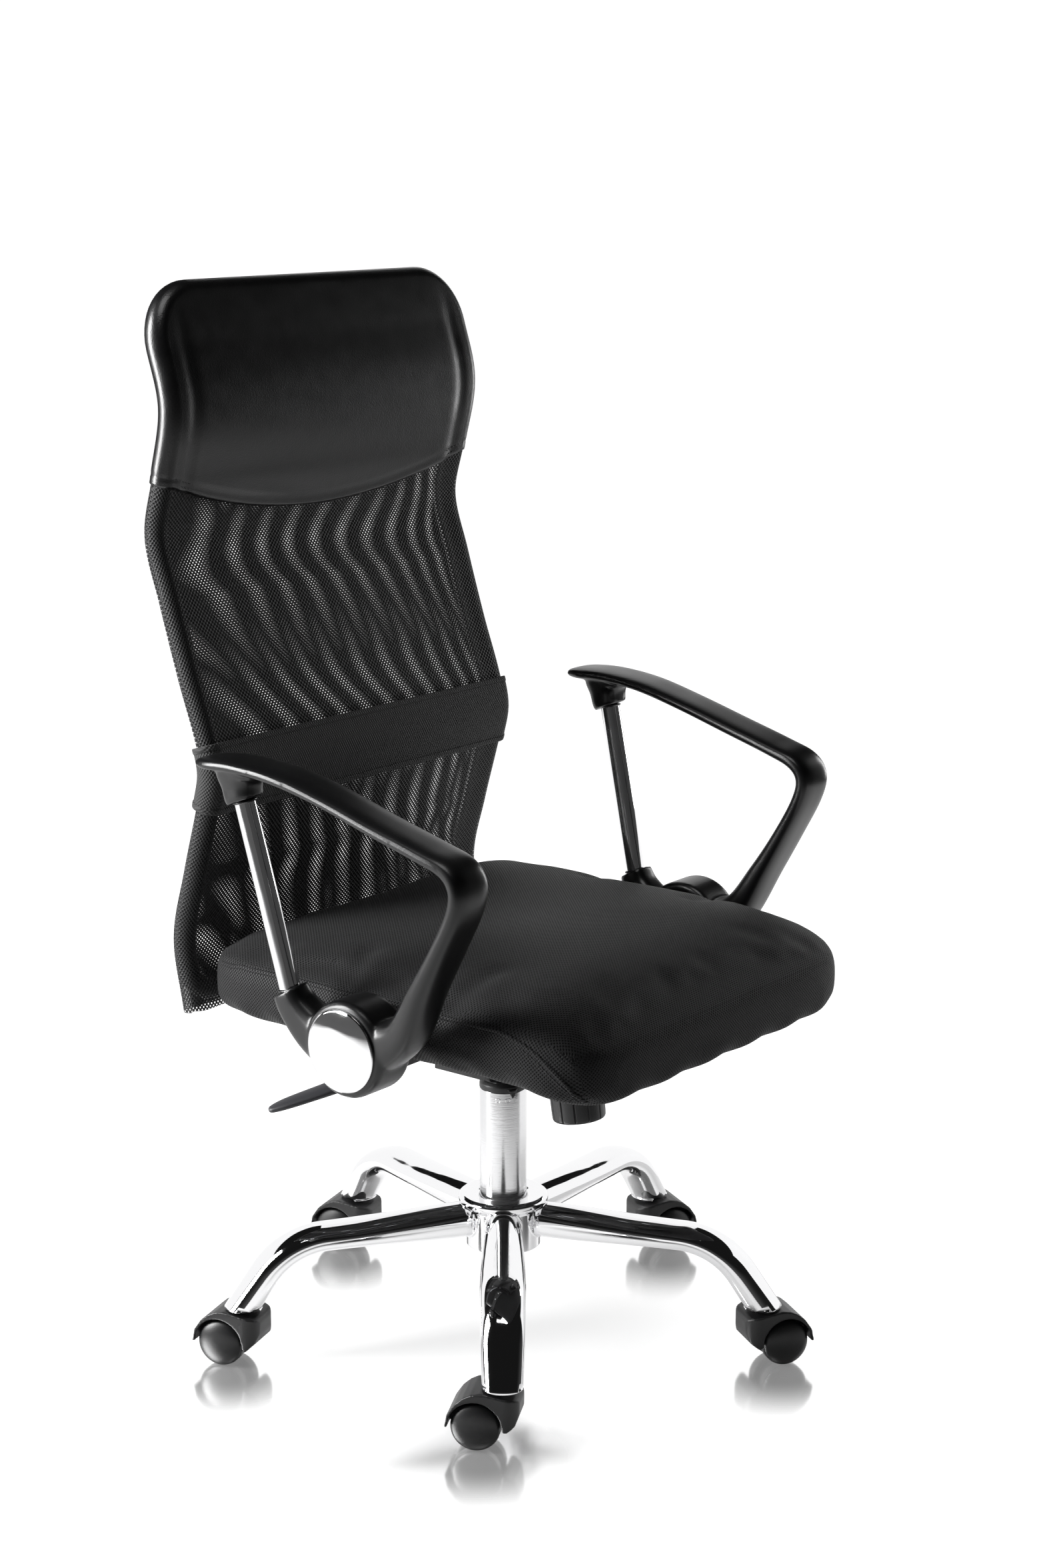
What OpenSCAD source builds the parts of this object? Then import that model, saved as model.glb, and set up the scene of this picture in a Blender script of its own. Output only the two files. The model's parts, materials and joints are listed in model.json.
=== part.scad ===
// Swivel office chair with a mesh back, loop arms, a gas lift and a five-star base.
// Origin: on the floor, on the column's axis. +Z is up and the chair faces -Y.

/* [Base] */
// Radius of the circle through the five caster stems
stem_circle_r = 280; // [250:5:330]
// Turn of the first leg from straight ahead
base_turn = -51.6; // [-180:0.1:180]
// Height of the legs' middle line near the hub
leg_z = 129.5; // [118:0.5:140]
// Width of a leg where it is flattened
leg_w = 47; // [40:1:54]
// Height of a leg where it is flattened
leg_h = 27; // [22:1:32]
// Diameter of a leg at the hub
leg_root_d = 37; // [32:1:40]
// Radius of the bend at the outer end of a leg
leg_bend_r = 80; // [60:1:95]
// Slope of a leg's outer end
leg_end_slope = 55; // [45:1:62]
// Gap between the casters' hoods and the legs' level ends
leg_cut_up = 1.5; // [1:0.5:6]
// Radius of the hub's body
hub_r = 40; // [37:1:44]
// Radius of the hub's top ring
hub_ring_r = 48; // [45:1:54]

/* [Gas lift] */
// Diameter of the column
column_d = 50; // [48:1:52]
// Height of the column's top
column_top_z = 273.5; // [240:0.5:310]
// Wall of the column
column_wall = 1.8; // [1.5:0.1:2.5]
// Diameter of the gas cylinder
cylinder_d = 28; // [26:1:30]
// Travel of the gas lift
lift_travel = 100; // [60:5:110]

/* [Casters] */
// Diameter of a wheel
wheel_d = 50; // [46:1:54]
// Distance from a stem to its wheels' axle
caster_trail = 24; // [20:0.5:27]
// Diameter of a caster stem
stem_d = 11; // [10:0.5:12]
// Width of a caster's hood
hood_w = 50; // [46:1:56]
// Directions in which the casters trail, leg by leg
caster_turn = [118, -33, -29, 105, 107];

/* [Seat] */
// Width of the seat
seat_w = 500; // [420:5:580]
// Depth of the seat
seat_d = 492; // [420:2:560]
// How far the seat's middle is in front of the column
seat_forward = 42; // [20:1:60]
// Height of the seat board's underside above the tilt housing's
seat_up = 76; // [75:0.5:84]
// Thickness of the seat board
board_t = 10; // [8:0.5:15]
// Height of the cushion's side above the board's underside
cushion_side = 61; // [50:1:75]
// Crown of the cushion above its side
cushion_crown = 34; // [20:1:45]
// How far the front edge drops
front_drop = 25; // [15:1:40]
// How far the cushion reaches over the rear edge, towards the back
cushion_over = 13; // [0:0.5:13]

/* [Back] */
// Distance between the middle lines of the back frame's uprights
back_w = 453.6; // [400:0.2:520]
// Diameter of the back frame's tube
frame_d = 22; // [20:1:25]
// Height of the middle line of the frame's lower bar above the seat board's underside
frame_low_up = 10; // [8:1:20]
// Height of the middle line of the frame's top above the seat board's underside
back_h = 722; // [600:1:860]
// Radius of the frame's top corners
frame_top_r = 50; // [35:1:80]
// Radius of the frame's lower corners
frame_low_r = 26; // [20:1:40]
// Thickness of the mesh sleeve
sleeve_t = 1.6; // [1:0.1:2.5]
// Height of the headrest cover, down from the middle line of the frame's top
headrest_h = 219; // [170:1:260]
// Padding of the headrest cover over the frame
headrest_pad = 6; // [4:0.5:10]
// Height of the lumbar band's lower edge, as a share of the back's height
lumbar_share = 0.292; // [0.25:0.001:0.34]
// Height of the lumbar band
lumbar_h = 66; // [50:1:80]

/* [Arms] */
// Distance from the seat's side to the middle of an armrest
arm_out = 43; // [38:1:60]
// Height of the armrests' top above the seat board's underside
arm_up = 292; // [240:1:340]
// Width of an armrest
arm_w = 52; // [44:1:60]
// Thickness of an armrest
arm_t = 13; // [11:1:16]
// Height of the arm's boss above the seat board's underside
boss_up = 24; // [20:1:32]
// How far the arm's boss is in front of the column
boss_forward = 46; // [30:1:60]
// Radius of the arm's boss
boss_r = 48; // [42:1:52]
// Diameter of the chrome arm tube
brace_d = 21; // [18:1:23]
// Radius of the chrome disc on the arm's boss
disc_r = 41; // [36:1:44]

/* [Mechanism] */
// How far the tilt pivot is in front of the column
pivot_forward = 30; // [24:1:36]
// Height of the tilt pivot above the housing's underside
pivot_up = 47; // [44:0.5:50]
// How far the tension knob is in front of the column
knob_forward = 88; // [80:1:100]
// Lean of the tension bolt
knob_lean = 8; // [0:1:12]
// Diameter of the tension knob
knob_d = 58; // [50:1:64]
// Height of the tension knob
knob_h = 40; // [30:1:46]

/* [Hidden] */
$fn = 64;

// Radial clearance of a pin that turns or slides in its hole
run_gap = 0.05;
// Clearance of screws and loose pieces in their holes
loose_gap = 0.3;
// Gap between soft pieces and what they lie against
soft_gap = 0.4;
// Gap between a sleeve and the curved tube inside it
bend_gap = 1;
// A length that is longer than any cut needs
far = 400;

// Heights and places that several pieces share
housing_low_z = column_top_z + 27.5;
pivot_z = housing_low_z + pivot_up;
seat_z = housing_low_z + seat_up;
seat_rear = seat_d / 2 - seat_forward;
boss_z = seat_z + boss_up;
arm_z = seat_z + arm_up;
arm_x = seat_w / 2 + arm_out;
frame_low_z = seat_z + frame_low_up;
frame_top_z = seat_z + back_h;
headrest_low_z = frame_top_z - headrest_h;
lumbar_low_z = seat_z + lumbar_share * back_h;

// ---- Curves and lofts ----

// Point of a Catmull-Rom curve through p, on span i at t from 0 to 1
function curve_at(p, i, t) =
    let (a = p[max(i - 1, 0)], b = p[i], c = p[i + 1], d = p[min(i + 2, len(p) - 1)])
    0.5 * (2 * b + (c - a) * t + (2 * a - 5 * b + 4 * c - d) * t * t
        + (3 * b - a - 3 * c + d) * t * t * t);

// Curve through all points of p, with steps pieces a span
function curve(p, steps) = [
    for (i = [0 : len(p) - 2], k = [0 : steps - 1]) curve_at(p, i, k / steps),
    p[len(p) - 1]
];

// Value at x of a smooth function through the [x, value] pairs k
function slope_at(k, i) =
    let (a = k[max(i - 1, 0)], b = k[min(i + 1, len(k) - 1)]) (b[1] - a[1]) / (b[0] - a[0]);
function span_at(k, x) = max(0, len([for (p = k) if (p[0] <= x) 1]) - 1);
function smooth_at(k, x) =
    let (i = min(span_at(k, x), len(k) - 2), w = k[i + 1][0] - k[i][0], t = (x - k[i][0]) / w,
        a = slope_at(k, i) * w, b = slope_at(k, i + 1) * w)
    k[i][1] * (2 * t * t * t - 3 * t * t + 1) + a * (t * t * t - 2 * t * t + t)
        + k[i + 1][1] * (3 * t * t - 2 * t * t * t) + b * (t * t * t - t * t);

// Point at angle a of an oval with half sizes w and h, squarer as n grows
function oval(w, h, n, a) = [
    w * sign(cos(a)) * pow(abs(cos(a)), 2 / n),
    h * sign(sin(a)) * pow(abs(sin(a)), 2 / n)
];

// Closed solid through rings of points, each ring turning anticlockwise about the path
module loft(rings, closed = false) {
    n = len(rings[0]);
    m = len(rings);
    last = closed ? m - 1 : m - 2;
    sides = [
        for (j = [0 : last], i = [0 : n - 1])
            let (k = (j + 1) % m, a = j * n + i, b = j * n + (i + 1) % n, c = k * n + (i + 1) % n,
                d = k * n + i)
            each [[a, c, b], [a, d, c]]
    ];
    low = [for (i = [0 : n - 1]) [n * m, i, (i + 1) % n]];
    high = [for (i = [0 : n - 1]) [n * m + 1, (m - 1) * n + (i + 1) % n, (m - 1) * n + i]];
    ones = [for (i = [0 : n - 1]) 1 / n];
    centres = closed ? [] : [ones * rings[0], ones * rings[m - 1]];
    polyhedron(
        points = concat([for (r = rings) each r], centres),
        faces = closed ? sides : concat(sides, low, high),
        convexity = 8
    );
}

// ---- Five-star base ----

leg_turns = [for (i = [0 : 4]) base_turn + 72 * i];
hub_low_z = leg_z - 31;
hub_top_z = leg_z + 26.5;
column_r = column_d / 2;
stem_r = stem_d / 2;
socket_r = stem_r + 3.5;
hood_share = 1.23;
hood_peak_z = hood_share * wheel_d;
leg_cut_z = hood_peak_z + leg_cut_up;
socket_top_z = leg_cut_z + 17;
cavity_r = 13;
cavity_top_z = leg_cut_z + 8;

// The bend starts where its end leads down to the stem circle at the cut
leg_end_drop = leg_z - leg_cut_z - leg_bend_r * (1 - cos(leg_end_slope));
leg_bend_start = stem_circle_r + 5 - leg_bend_r * sin(leg_end_slope)
    - leg_end_drop / tan(leg_end_slope);
leg_over = 14;

// Outside of the hub as [radius, height] points
hub_outline = [
    [0, hub_low_z], [hub_r - 1, hub_low_z], [hub_r, hub_low_z + 1], [hub_r, hub_top_z - 15],
    [hub_ring_r - 1, hub_top_z - 9], [hub_ring_r, hub_top_z - 8], [hub_ring_r, hub_top_z - 4],
    [hub_ring_r - 4, hub_top_z], [0, hub_top_z]
];

module hub() {
    color("silver")
        difference() {
            rotate_extrude($fn = 96) polygon(hub_outline);
            translate([0, 0, hub_low_z - 1]) cylinder(h = far, r = column_r, $fn = 96);
        }
}

// Stations of a leg: [distance from the axis, height, slope, width, height of section]
leg_stations = [
    for (t = [0 : 6]) [
        hub_r - 6 + (leg_bend_start - hub_r + 6) * t / 7, leg_z, 0,
        leg_root_d + (leg_w - leg_root_d) * sin(90 * t / 7),
        leg_root_d + (leg_h - leg_root_d) * (1 - cos(180 * t / 7)) / 2
    ],
    for (t = [0 : 7]) let (a = leg_end_slope * t / 7) [
        leg_bend_start + leg_bend_r * sin(a), leg_z - leg_bend_r * (1 - cos(a)), a,
        leg_w - 3 * t / 7, leg_h + 2 * t / 7
    ],
    for (t = [1 : 3]) let (d = (leg_end_drop + leg_over) * t / 3) [
        leg_bend_start + leg_bend_r * sin(leg_end_slope) + d / tan(leg_end_slope),
        leg_z - leg_bend_r * (1 - cos(leg_end_slope)) - d, leg_end_slope,
        leg_w - 3 - 4 * t / 3, leg_h + 2 + t
    ]
];

function leg_ring(s) = [
    for (i = [0 : 27])
        let (p = oval(s[3] / 2, s[4] / 2, 2.25, -360 / 28 * i))
        [p[0], -(s[0] + p[1] * sin(s[2])), s[1] + p[1] * cos(s[2])]
];

// Places its children at a stem, for the leg turned by a
module at_stem(a) {
    rotate(a) translate([0, -stem_circle_r, 0]) children();
}

module base_legs() {
    color("silver")
        for (a = leg_turns)
            difference() {
                rotate(a) loft([for (s = leg_stations) leg_ring(s)]);
                rotate_extrude($fn = 96) polygon(hub_outline);
                translate([-far, -far, -far + leg_cut_z]) cube([2 * far, 2 * far, far]);
                at_stem(a) {
                    cylinder(h = cavity_top_z, r = cavity_r, $fn = 48);
                    cylinder(h = socket_top_z, r = socket_r, $fn = 48);
                }
            }
}

module stem_sockets() {
    color("darkgray")
        for (a = leg_turns)
            at_stem(a)
                translate([0, 0, leg_cut_z + 2])
                    difference() {
                        cylinder(h = socket_top_z - leg_cut_z - 2, r = socket_r, $fn = 48);
                        translate([0, 0, -1]) cylinder(h = far, r = stem_r, $fn = 48);
                    }
}

// ---- Casters ----

wheel_r = wheel_d / 2;
axle_r = 3;
axle_half = 20.5;
web_t = 13.5;
wheel_in = web_t / 2 + 0.8;
wheel_out = 27.5;
hood_back = 19.5;
hood_top_z = hood_peak_z - 5.5;
stem_low_z = wheel_d - 14;
shell_gap = 2.2;

module caster_stems() {
    color("silver")
        for (a = leg_turns)
            at_stem(a)
                translate([0, 0, stem_low_z])
                    cylinder(h = socket_top_z - stem_low_z, r = stem_r, $fn = 48);
}

// Side view of a hood: the stem is at 0 and the wheels trail along +X
module hood_side() {
    // Outline over the wheels, in wheel radii from the axle
    over = [
        [1.2, 0], [1.1, 0.52], [0.8, 0.96], [0.48, 1.24], [0.16, 1.4],
        [-0.2, 2 * hood_share - 1]
    ];
    difference() {
        polygon(concat(
            [for (p = over) [caster_trail + wheel_r * p[0], wheel_r * (1 + p[1])]],
            [
                [8, hood_top_z + 4.3], [-14, hood_top_z + 0.4], [-18, hood_top_z - 1.5],
                [-hood_back, hood_top_z - 5], [-19, wheel_r + 13], [-15.5, wheel_r + 3.5],
                [-8, wheel_r - 2.5], [-2.5, wheel_r - 1.5], [8, wheel_r]
            ]
        ));
        translate([caster_trail, wheel_r]) circle(r = wheel_r + shell_gap, $fn = 96);
    }
}

// Plan of a hood, round at the stem's end
module hood_plan() {
    r = 15;
    half = hood_w / 2;
    translate([-hood_back + r, -half]) square([caster_trail + wheel_d + 2 - r, hood_w]);
    translate([-hood_back, -half + r]) square([r + 1, hood_w - 2 * r]);
    for (s = [-1, 1])
        translate([-hood_back + r, s * (half - r)]) circle(r = r, $fn = 48);
}

module hood() {
    difference() {
        union() {
            intersection() {
                rotate([90, 0, 0])
                    linear_extrude(height = hood_w + 2, center = true) hood_side();
                linear_extrude(height = far) hood_plan();
            }
            rotate([90, 0, 0])
                linear_extrude(height = web_t, center = true) {
                    intersection() {
                        translate([caster_trail, wheel_r])
                            circle(r = wheel_r + shell_gap + 0.2, $fn = 96);
                        translate([caster_trail - far / 2, wheel_r]) square([far, far]);
                    }
                    translate([caster_trail, wheel_r]) circle(r = wheel_r - 6, $fn = 64);
                }
        }
        translate([0, 0, stem_low_z - loose_gap])
            cylinder(h = far, r = stem_r + run_gap, $fn = 48);
        translate([caster_trail, 0, wheel_r])
            rotate([90, 0, 0]) cylinder(h = far, r = axle_r, center = true, $fn = 48);
    }
}

// Half section of a wheel: bore, flat inner side, tread and domed face
wheel_section = [
    [axle_r + run_gap, wheel_in], [wheel_r - 2, wheel_in], [wheel_r, wheel_in + 2],
    [wheel_r, 18.5],
    for (a = [10 : 10 : 90]) [(wheel_r - 0.5) * cos(a), 18.5 + (wheel_out - 18.5) * sin(a)],
    [0, axle_half + 1], [axle_r + run_gap, axle_half + 1]
];

module wheel(side) {
    translate([caster_trail, 0, wheel_r])
        rotate([side * 90, 0, 0]) rotate_extrude($fn = 96) polygon(wheel_section);
}

module axle() {
    translate([caster_trail, 0, wheel_r])
        rotate([90, 0, 0]) cylinder(h = 2 * axle_half, r = axle_r, center = true, $fn = 48);
}

// Places its children at caster i, turned the way it trails
module at_caster(i) {
    a = leg_turns[i];
    translate([stem_circle_r * sin(a), -stem_circle_r * cos(a), 0])
        rotate(caster_turn[i]) children();
}

module caster_hood(i) {
    color("#151515") at_caster(i) hood();
}

module caster_axle(i) {
    color("gray") at_caster(i) axle();
}

module caster_wheel(i, side) {
    color("#1c1c1c") at_caster(i) wheel(side);
}

// ---- Gas lift ----

cylinder_r = cylinder_d / 2;
cylinder_wall = 1.5;
rod_r = 5;
column_low_z = hub_low_z - 6;
plate_t = 3;
bearing_z = column_low_z + plate_t;
bearing_t = 4;
collar_t = 3;
bumper_z = bearing_z + bearing_t + collar_t;
bumper_t = 9;
cylinder_low_z = bumper_z + bumper_t + loose_gap;
cylinder_seal = 8;
piston_z = cylinder_low_z + cylinder_seal + lift_travel + 2;
piston_t = 8;
piston_r = cylinder_r - cylinder_wall - 2 * run_gap;
taper_low_z = housing_low_z + 9;
taper_top_z = housing_low_z + 39;
taper_in = 1.4;
pin_r = 2.5;
pin_up = 5;
pin_low_z = taper_low_z - 4;
dust_ring_t = 10;
bushing_l = 75;
dimple_turns = [-64, -40];
tab_turn = -28;
tab_t = 0.8;

module column_tube() {
    color("silver")
        difference() {
            translate([0, 0, column_low_z])
                cylinder(h = column_top_z - column_low_z, r = column_r, $fn = 96);
            translate([0, 0, bearing_z]) cylinder(h = far, r = column_r - column_wall, $fn = 96);
            translate([0, 0, column_low_z - 1])
                cylinder(h = far, r = rod_r + run_gap, $fn = 48);
            for (a = dimple_turns)
                rotate(a)
                    translate([0, -column_r, column_top_z - 8])
                        rotate([90, 0, 0]) cylinder(h = 1.2, r = 2.2, center = true, $fn = 24);
        }
}

// Pointed tab of the dust ring, which hangs over the column's top edge
module ring_tab() {
    rotate(tab_turn)
        intersection() {
            difference() {
                translate([0, 0, column_top_z - 6])
                    cylinder(h = 10, r = column_r + tab_t, $fn = 96);
                translate([0, 0, column_top_z - 7])
                    cylinder(h = 7, r = column_r + run_gap, $fn = 96);
                cylinder(h = far, r = column_r - 1, $fn = 96);
            }
            translate([0, -column_r, column_top_z])
                rotate([90, 0, 0])
                    linear_extrude(height = 8, center = true)
                        polygon([[-6, 4], [0, -6], [6, 4]]);
        }
}

module guide_bushing() {
    color("#101010")
        difference() {
            union() {
                translate([0, 0, column_top_z - bushing_l])
                    cylinder(h = bushing_l + 1, r = column_r - column_wall, $fn = 96);
                translate([0, 0, column_top_z])
                    cylinder(h = dust_ring_t - 2, r = column_r, $fn = 96);
                translate([0, 0, column_top_z + dust_ring_t - 2])
                    cylinder(h = 2, r1 = column_r, r2 = column_r - 2, $fn = 96);
                ring_tab();
            }
            translate([0, 0, column_top_z - bushing_l - 1])
                cylinder(h = far, r = cylinder_r + run_gap, $fn = 96);
        }
}

module thrust_bearing() {
    color("gray")
        translate([0, 0, bearing_z])
            difference() {
                cylinder(h = bearing_t, r = 13, $fn = 64);
                translate([0, 0, -1]) cylinder(h = far, r = rod_r + run_gap, $fn = 48);
            }
}

module piston_rod() {
    groove_z = column_low_z - 3;
    color("silver")
        rotate_extrude($fn = 64)
            polygon([
                [0, groove_z - 2], [rod_r, groove_z - 2], [rod_r, groove_z],
                [rod_r - 0.8, groove_z], [rod_r - 0.8, groove_z + 2], [rod_r, groove_z + 2],
                [rod_r, bearing_z + bearing_t], [rod_r + 3, bearing_z + bearing_t],
                [rod_r + 3, bumper_z], [rod_r, bumper_z], [rod_r, piston_z],
                [piston_r, piston_z], [piston_r, piston_z + piston_t], [0, piston_z + piston_t]
            ]);
}

module rod_clip() {
    color("dimgray")
        translate([0, 0, column_low_z - 3])
            difference() {
                cylinder(h = 2, r = 9, $fn = 64);
                translate([0, 0, -1]) cylinder(h = 4, r = rod_r - 0.8, $fn = 48);
            }
}

module rubber_bumper() {
    color("#202020")
        translate([0, 0, bumper_z])
            difference() {
                cylinder(h = bumper_t, r = 11, $fn = 64);
                translate([0, 0, -1]) cylinder(h = far, r = rod_r, $fn = 48);
            }
}

module gas_cylinder() {
    inner = cylinder_r - cylinder_wall;
    hole = pin_r + run_gap;
    color("lightgray")
        rotate_extrude($fn = 96)
            polygon([
                [rod_r + run_gap, cylinder_low_z], [cylinder_r, cylinder_low_z],
                [cylinder_r, taper_low_z], [cylinder_r - taper_in, taper_top_z],
                [hole, taper_top_z], [hole, taper_low_z - 6],
                [inner, taper_low_z - 6], [inner, cylinder_low_z + cylinder_seal],
                [rod_r + run_gap, cylinder_low_z + cylinder_seal]
            ]);
}

module release_pin() {
    color("gold")
        translate([0, 0, pin_low_z])
            cylinder(h = taper_top_z + pin_up - pin_low_z, r = pin_r, $fn = 32);
}

// ---- Tilt mechanism ----

housing_w = 124;
housing_wall = 2.5;
housing_front_y = -pivot_forward - 94;
housing_front_low_z = housing_low_z + 24;
housing_rear_y = 42;
housing_top_z = housing_low_z + 60;
housing_rear_top_z = housing_low_z + 55;
spring_well_r = 24;
bridge_z = housing_low_z + 53;
bridge_t = 3;
flange_t = 3;
tilt_pin_r = 5;
plate_w = 150;
seat_plate_t = 3.5;
bolt_r = 4;
lever_z = taper_top_z + pin_up + 4;
lever_r = 3.6;
lever_pivot_x = 34;
lever_pin_r = 2;
bush_r = 8;
bush_start = housing_w / 2 + 4;
bush_l = bush_start - lever_pivot_x + 6;

// Side view of the housing, with the chair's front at the left
module housing_side(inset) {
    polygon([
        [housing_front_y + inset, housing_front_low_z + inset],
        [-34, housing_front_low_z + inset], [-24, housing_low_z + inset],
        [housing_rear_y - inset, housing_low_z + inset],
        [housing_rear_y - inset, housing_rear_top_z],
        [-pivot_forward, housing_top_z], [housing_front_y + inset, housing_top_z]
    ]);
}

// Places its children on the tension bolt's axis, with its head end at the origin
module at_bolt() {
    translate([0, -knob_forward, bridge_z])
        rotate([-knob_lean, 0, 0]) children();
}

module mechanism_housing() {
    half = housing_w / 2;
    color("#1a1a1a")
        difference() {
            union() {
                difference() {
                    rotate([90, 0, 90])
                        linear_extrude(height = housing_w, center = true) housing_side(0);
                    rotate([90, 0, 90])
                        linear_extrude(height = housing_w - 2 * housing_wall, center = true)
                            union() {
                                housing_side(housing_wall);
                                translate([housing_front_y + housing_wall, housing_rear_top_z - 4])
                                    square([housing_rear_y - housing_front_y
                                        - 2 * housing_wall, 40]);
                            }
                }
                translate([0, 0, housing_low_z])
                    cylinder(h = taper_top_z - housing_low_z, r = cylinder_r + 5, $fn = 64);
                translate([-half + 1, -knob_forward - 21, bridge_z])
                    cube([housing_w - 2, 42, bridge_t]);
            }
            rotate_extrude($fn = 96)
                polygon([
                    [0, housing_low_z - 1], [cylinder_r, housing_low_z - 1],
                    [cylinder_r, taper_low_z], [cylinder_r - taper_in, taper_top_z],
                    [cylinder_r - taper_in, taper_top_z + 1], [0, taper_top_z + 1]
                ]);
            translate([0, -pivot_forward, pivot_z])
                rotate([0, 90, 0]) cylinder(h = far, r = tilt_pin_r + run_gap, center = true);
            translate([0, -knob_forward - 5, housing_front_low_z - 5])
                cylinder(h = 15, r = spring_well_r);
            translate([-7, -knob_forward - 16, bridge_z - 1]) cube([14, 32, bridge_t + 2]);
            translate([-half - 1, 0, lever_z])
                rotate([0, 90, 0]) cylinder(h = 12, r = bush_r + run_gap);
        }
}

module lever_bush() {
    color("dimgray")
        difference() {
            translate([-bush_start, 0, lever_z])
                rotate([0, 90, 0]) cylinder(h = bush_l, r = bush_r);
            translate([-bush_start - 1, -lever_r - 1, lever_z - lever_r - 1])
                cube([bush_l + 2, 2 * lever_r + 2, 2 * bush_r]);
            lever_pin_bar(lever_pin_r);
        }
}

// Bar across the lever on the axis it turns about
module lever_pin_bar(r) {
    translate([-lever_pivot_x, 0, lever_z])
        rotate([90, 0, 0]) cylinder(h = 2 * bush_r - 2, r = r, center = true, $fn = 32);
}

module lever_pin() {
    color("silver") lever_pin_bar(lever_pin_r);
}

lever_path = [
    [16, 0, lever_z], [-52, 0, lever_z], [-70, 1, lever_z], [-84, 7, lever_z - 4],
    [-112, 24, lever_z - 16], [-150, 45, lever_z - 29]
];
paddle_path = [
    // [x, y, z, width, height]
    [-136, 37, lever_z - 24, 13, 11], [-150, 45, lever_z - 29, 20, 12],
    [-175, 58, lever_z - 35, 26, 11], [-205, 74, lever_z - 42, 27, 9],
    [-235, 92, lever_z - 50, 22, 8], [-249, 100, lever_z - 54, 13, 6],
    [-252, 102, lever_z - 55, 5, 3]
];

// Ring of n points about a path's point p that runs along the level direction d
function path_ring(p, d, w, h, square_n, n) =
    let (u = [d[0], d[1], 0] / norm([d[0], d[1]]), side = [-u[1], u[0], 0])
    [for (i = [0 : n - 1])
        let (q = oval(w / 2, h / 2, square_n, 360 / n * i)) p + side * q[0] + [0, 0, q[1]]];

function along(p, i) = p[min(i + 1, len(p) - 1)] - p[max(i - 1, 0)];

module height_lever() {
    path = curve(lever_path, 3);
    color("gray")
        difference() {
            loft([
                for (i = [0 : len(path) - 1])
                    path_ring(path[i], along(path, i), 2 * lever_r, 2 * lever_r, 2, 14)
            ]);
            lever_pin_bar(lever_pin_r + run_gap);
        }
}

module lever_paddle() {
    path = curve(paddle_path, 3);
    core = curve(lever_path, 3);
    grip_gap = 0.05;
    color("#2a2a2a")
        difference() {
            loft([
                for (i = [0 : len(path) - 1])
                    path_ring([path[i][0], path[i][1], path[i][2]], along(path, i), path[i][3],
                        path[i][4], 2.4, 20)
            ]);
            loft([
                for (i = [8 : len(core) - 1])
                    path_ring(core[i], along(core, i), 2 * (lever_r + grip_gap),
                        2 * (lever_r + grip_gap), 2, 14)
            ]);
        }
}

module tilt_pin() {
    color("silver")
        translate([0, -pivot_forward, pivot_z])
            rotate([0, 90, 0])
                cylinder(h = housing_w + 2 * flange_t + 8, r = tilt_pin_r, center = true);
}

module tension_spring() {
    coil_r = 14.5;
    wire_r = 2.6;
    turns = 5;
    spring_l = spring_seat - 2 * wire_r - 3.5;
    steps = 18;
    color("#303030")
        at_bolt()
            translate([0, 0, -spring_l - wire_r - 2.5])
                loft([
                    for (i = [0 : turns * steps])
                        let (a = 360 * i / steps, z = spring_l * i / (turns * steps))
                        [for (j = [0 : 7])
                            let (b = 45 * j, r = coil_r + wire_r * cos(b))
                            [r * cos(a), r * sin(a), z - wire_r * sin(b)]]
                ]);
}

// Bolts through the seat plate, the frame straps and the arm brackets
plate_bolts = [for (sx = [-1, 1], y = [-96, 84]) [sx * 54, y]];
strap_x = 108;
strap_front = seat_rear - 164;
strap_bolts = [for (sx = [-1, 1], y = [30, 90]) [sx * strap_x, strap_front + y]];
bracket_bolts = [for (sx = [-1, 1], x = [112, 168]) [sx * x, -boss_forward]];
screw_r = 3;
strap_t = 6;

module screw_holes(list, r) {
    for (p = list)
        translate([p[0], p[1], seat_z - 20]) cylinder(h = 20 + board_t, r = r, $fn = 32);
}

module seat_plate() {
    inner = housing_w / 2 + loose_gap;
    color("#1a1a1a")
        difference() {
            union() {
                translate([-plate_w / 2, -112, seat_z - seat_plate_t])
                    cube([plate_w, 212, seat_plate_t]);
                for (s = [-1, 1])
                    translate([s * (inner + flange_t / 2), -pivot_forward, 0])
                        rotate([90, 0, 90])
                            linear_extrude(height = flange_t, center = true) {
                                translate([0, pivot_z]) circle(r = 13);
                                translate([-13, pivot_z])
                                    square([26, seat_z - seat_plate_t / 2 - pivot_z]);
                                polygon([
                                    [-13, pivot_z + 6], [13, pivot_z + 6],
                                    [34, seat_z - seat_plate_t / 2],
                                    [-70, seat_z - seat_plate_t / 2]
                                ]);
                            }
            }
            translate([0, -pivot_forward, pivot_z])
                rotate([0, 90, 0]) cylinder(h = far, r = tilt_pin_r, center = true);
            screw_holes(plate_bolts, screw_r + run_gap);
            at_bolt() cylinder(h = 40, r = bolt_r + loose_gap, $fn = 32);
        }
}

// Along the bolt from the bridge: the spring's seat, the knob's rim and the bolt's head
spring_seat = 50;
knob_drop = 56;
bolt_in_knob = 22;
bolt_head = (seat_z - bridge_z) / cos(knob_lean) + 1;

module tension_bolt() {
    color("silver")
        at_bolt() {
            translate([0, 0, -knob_drop - bolt_in_knob])
                cylinder(h = knob_drop + bolt_in_knob + bolt_head, r = bolt_r, $fn = 32);
            translate([0, 0, bolt_head]) cylinder(h = 4, r = 7, $fn = 6);
        }
}

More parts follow.
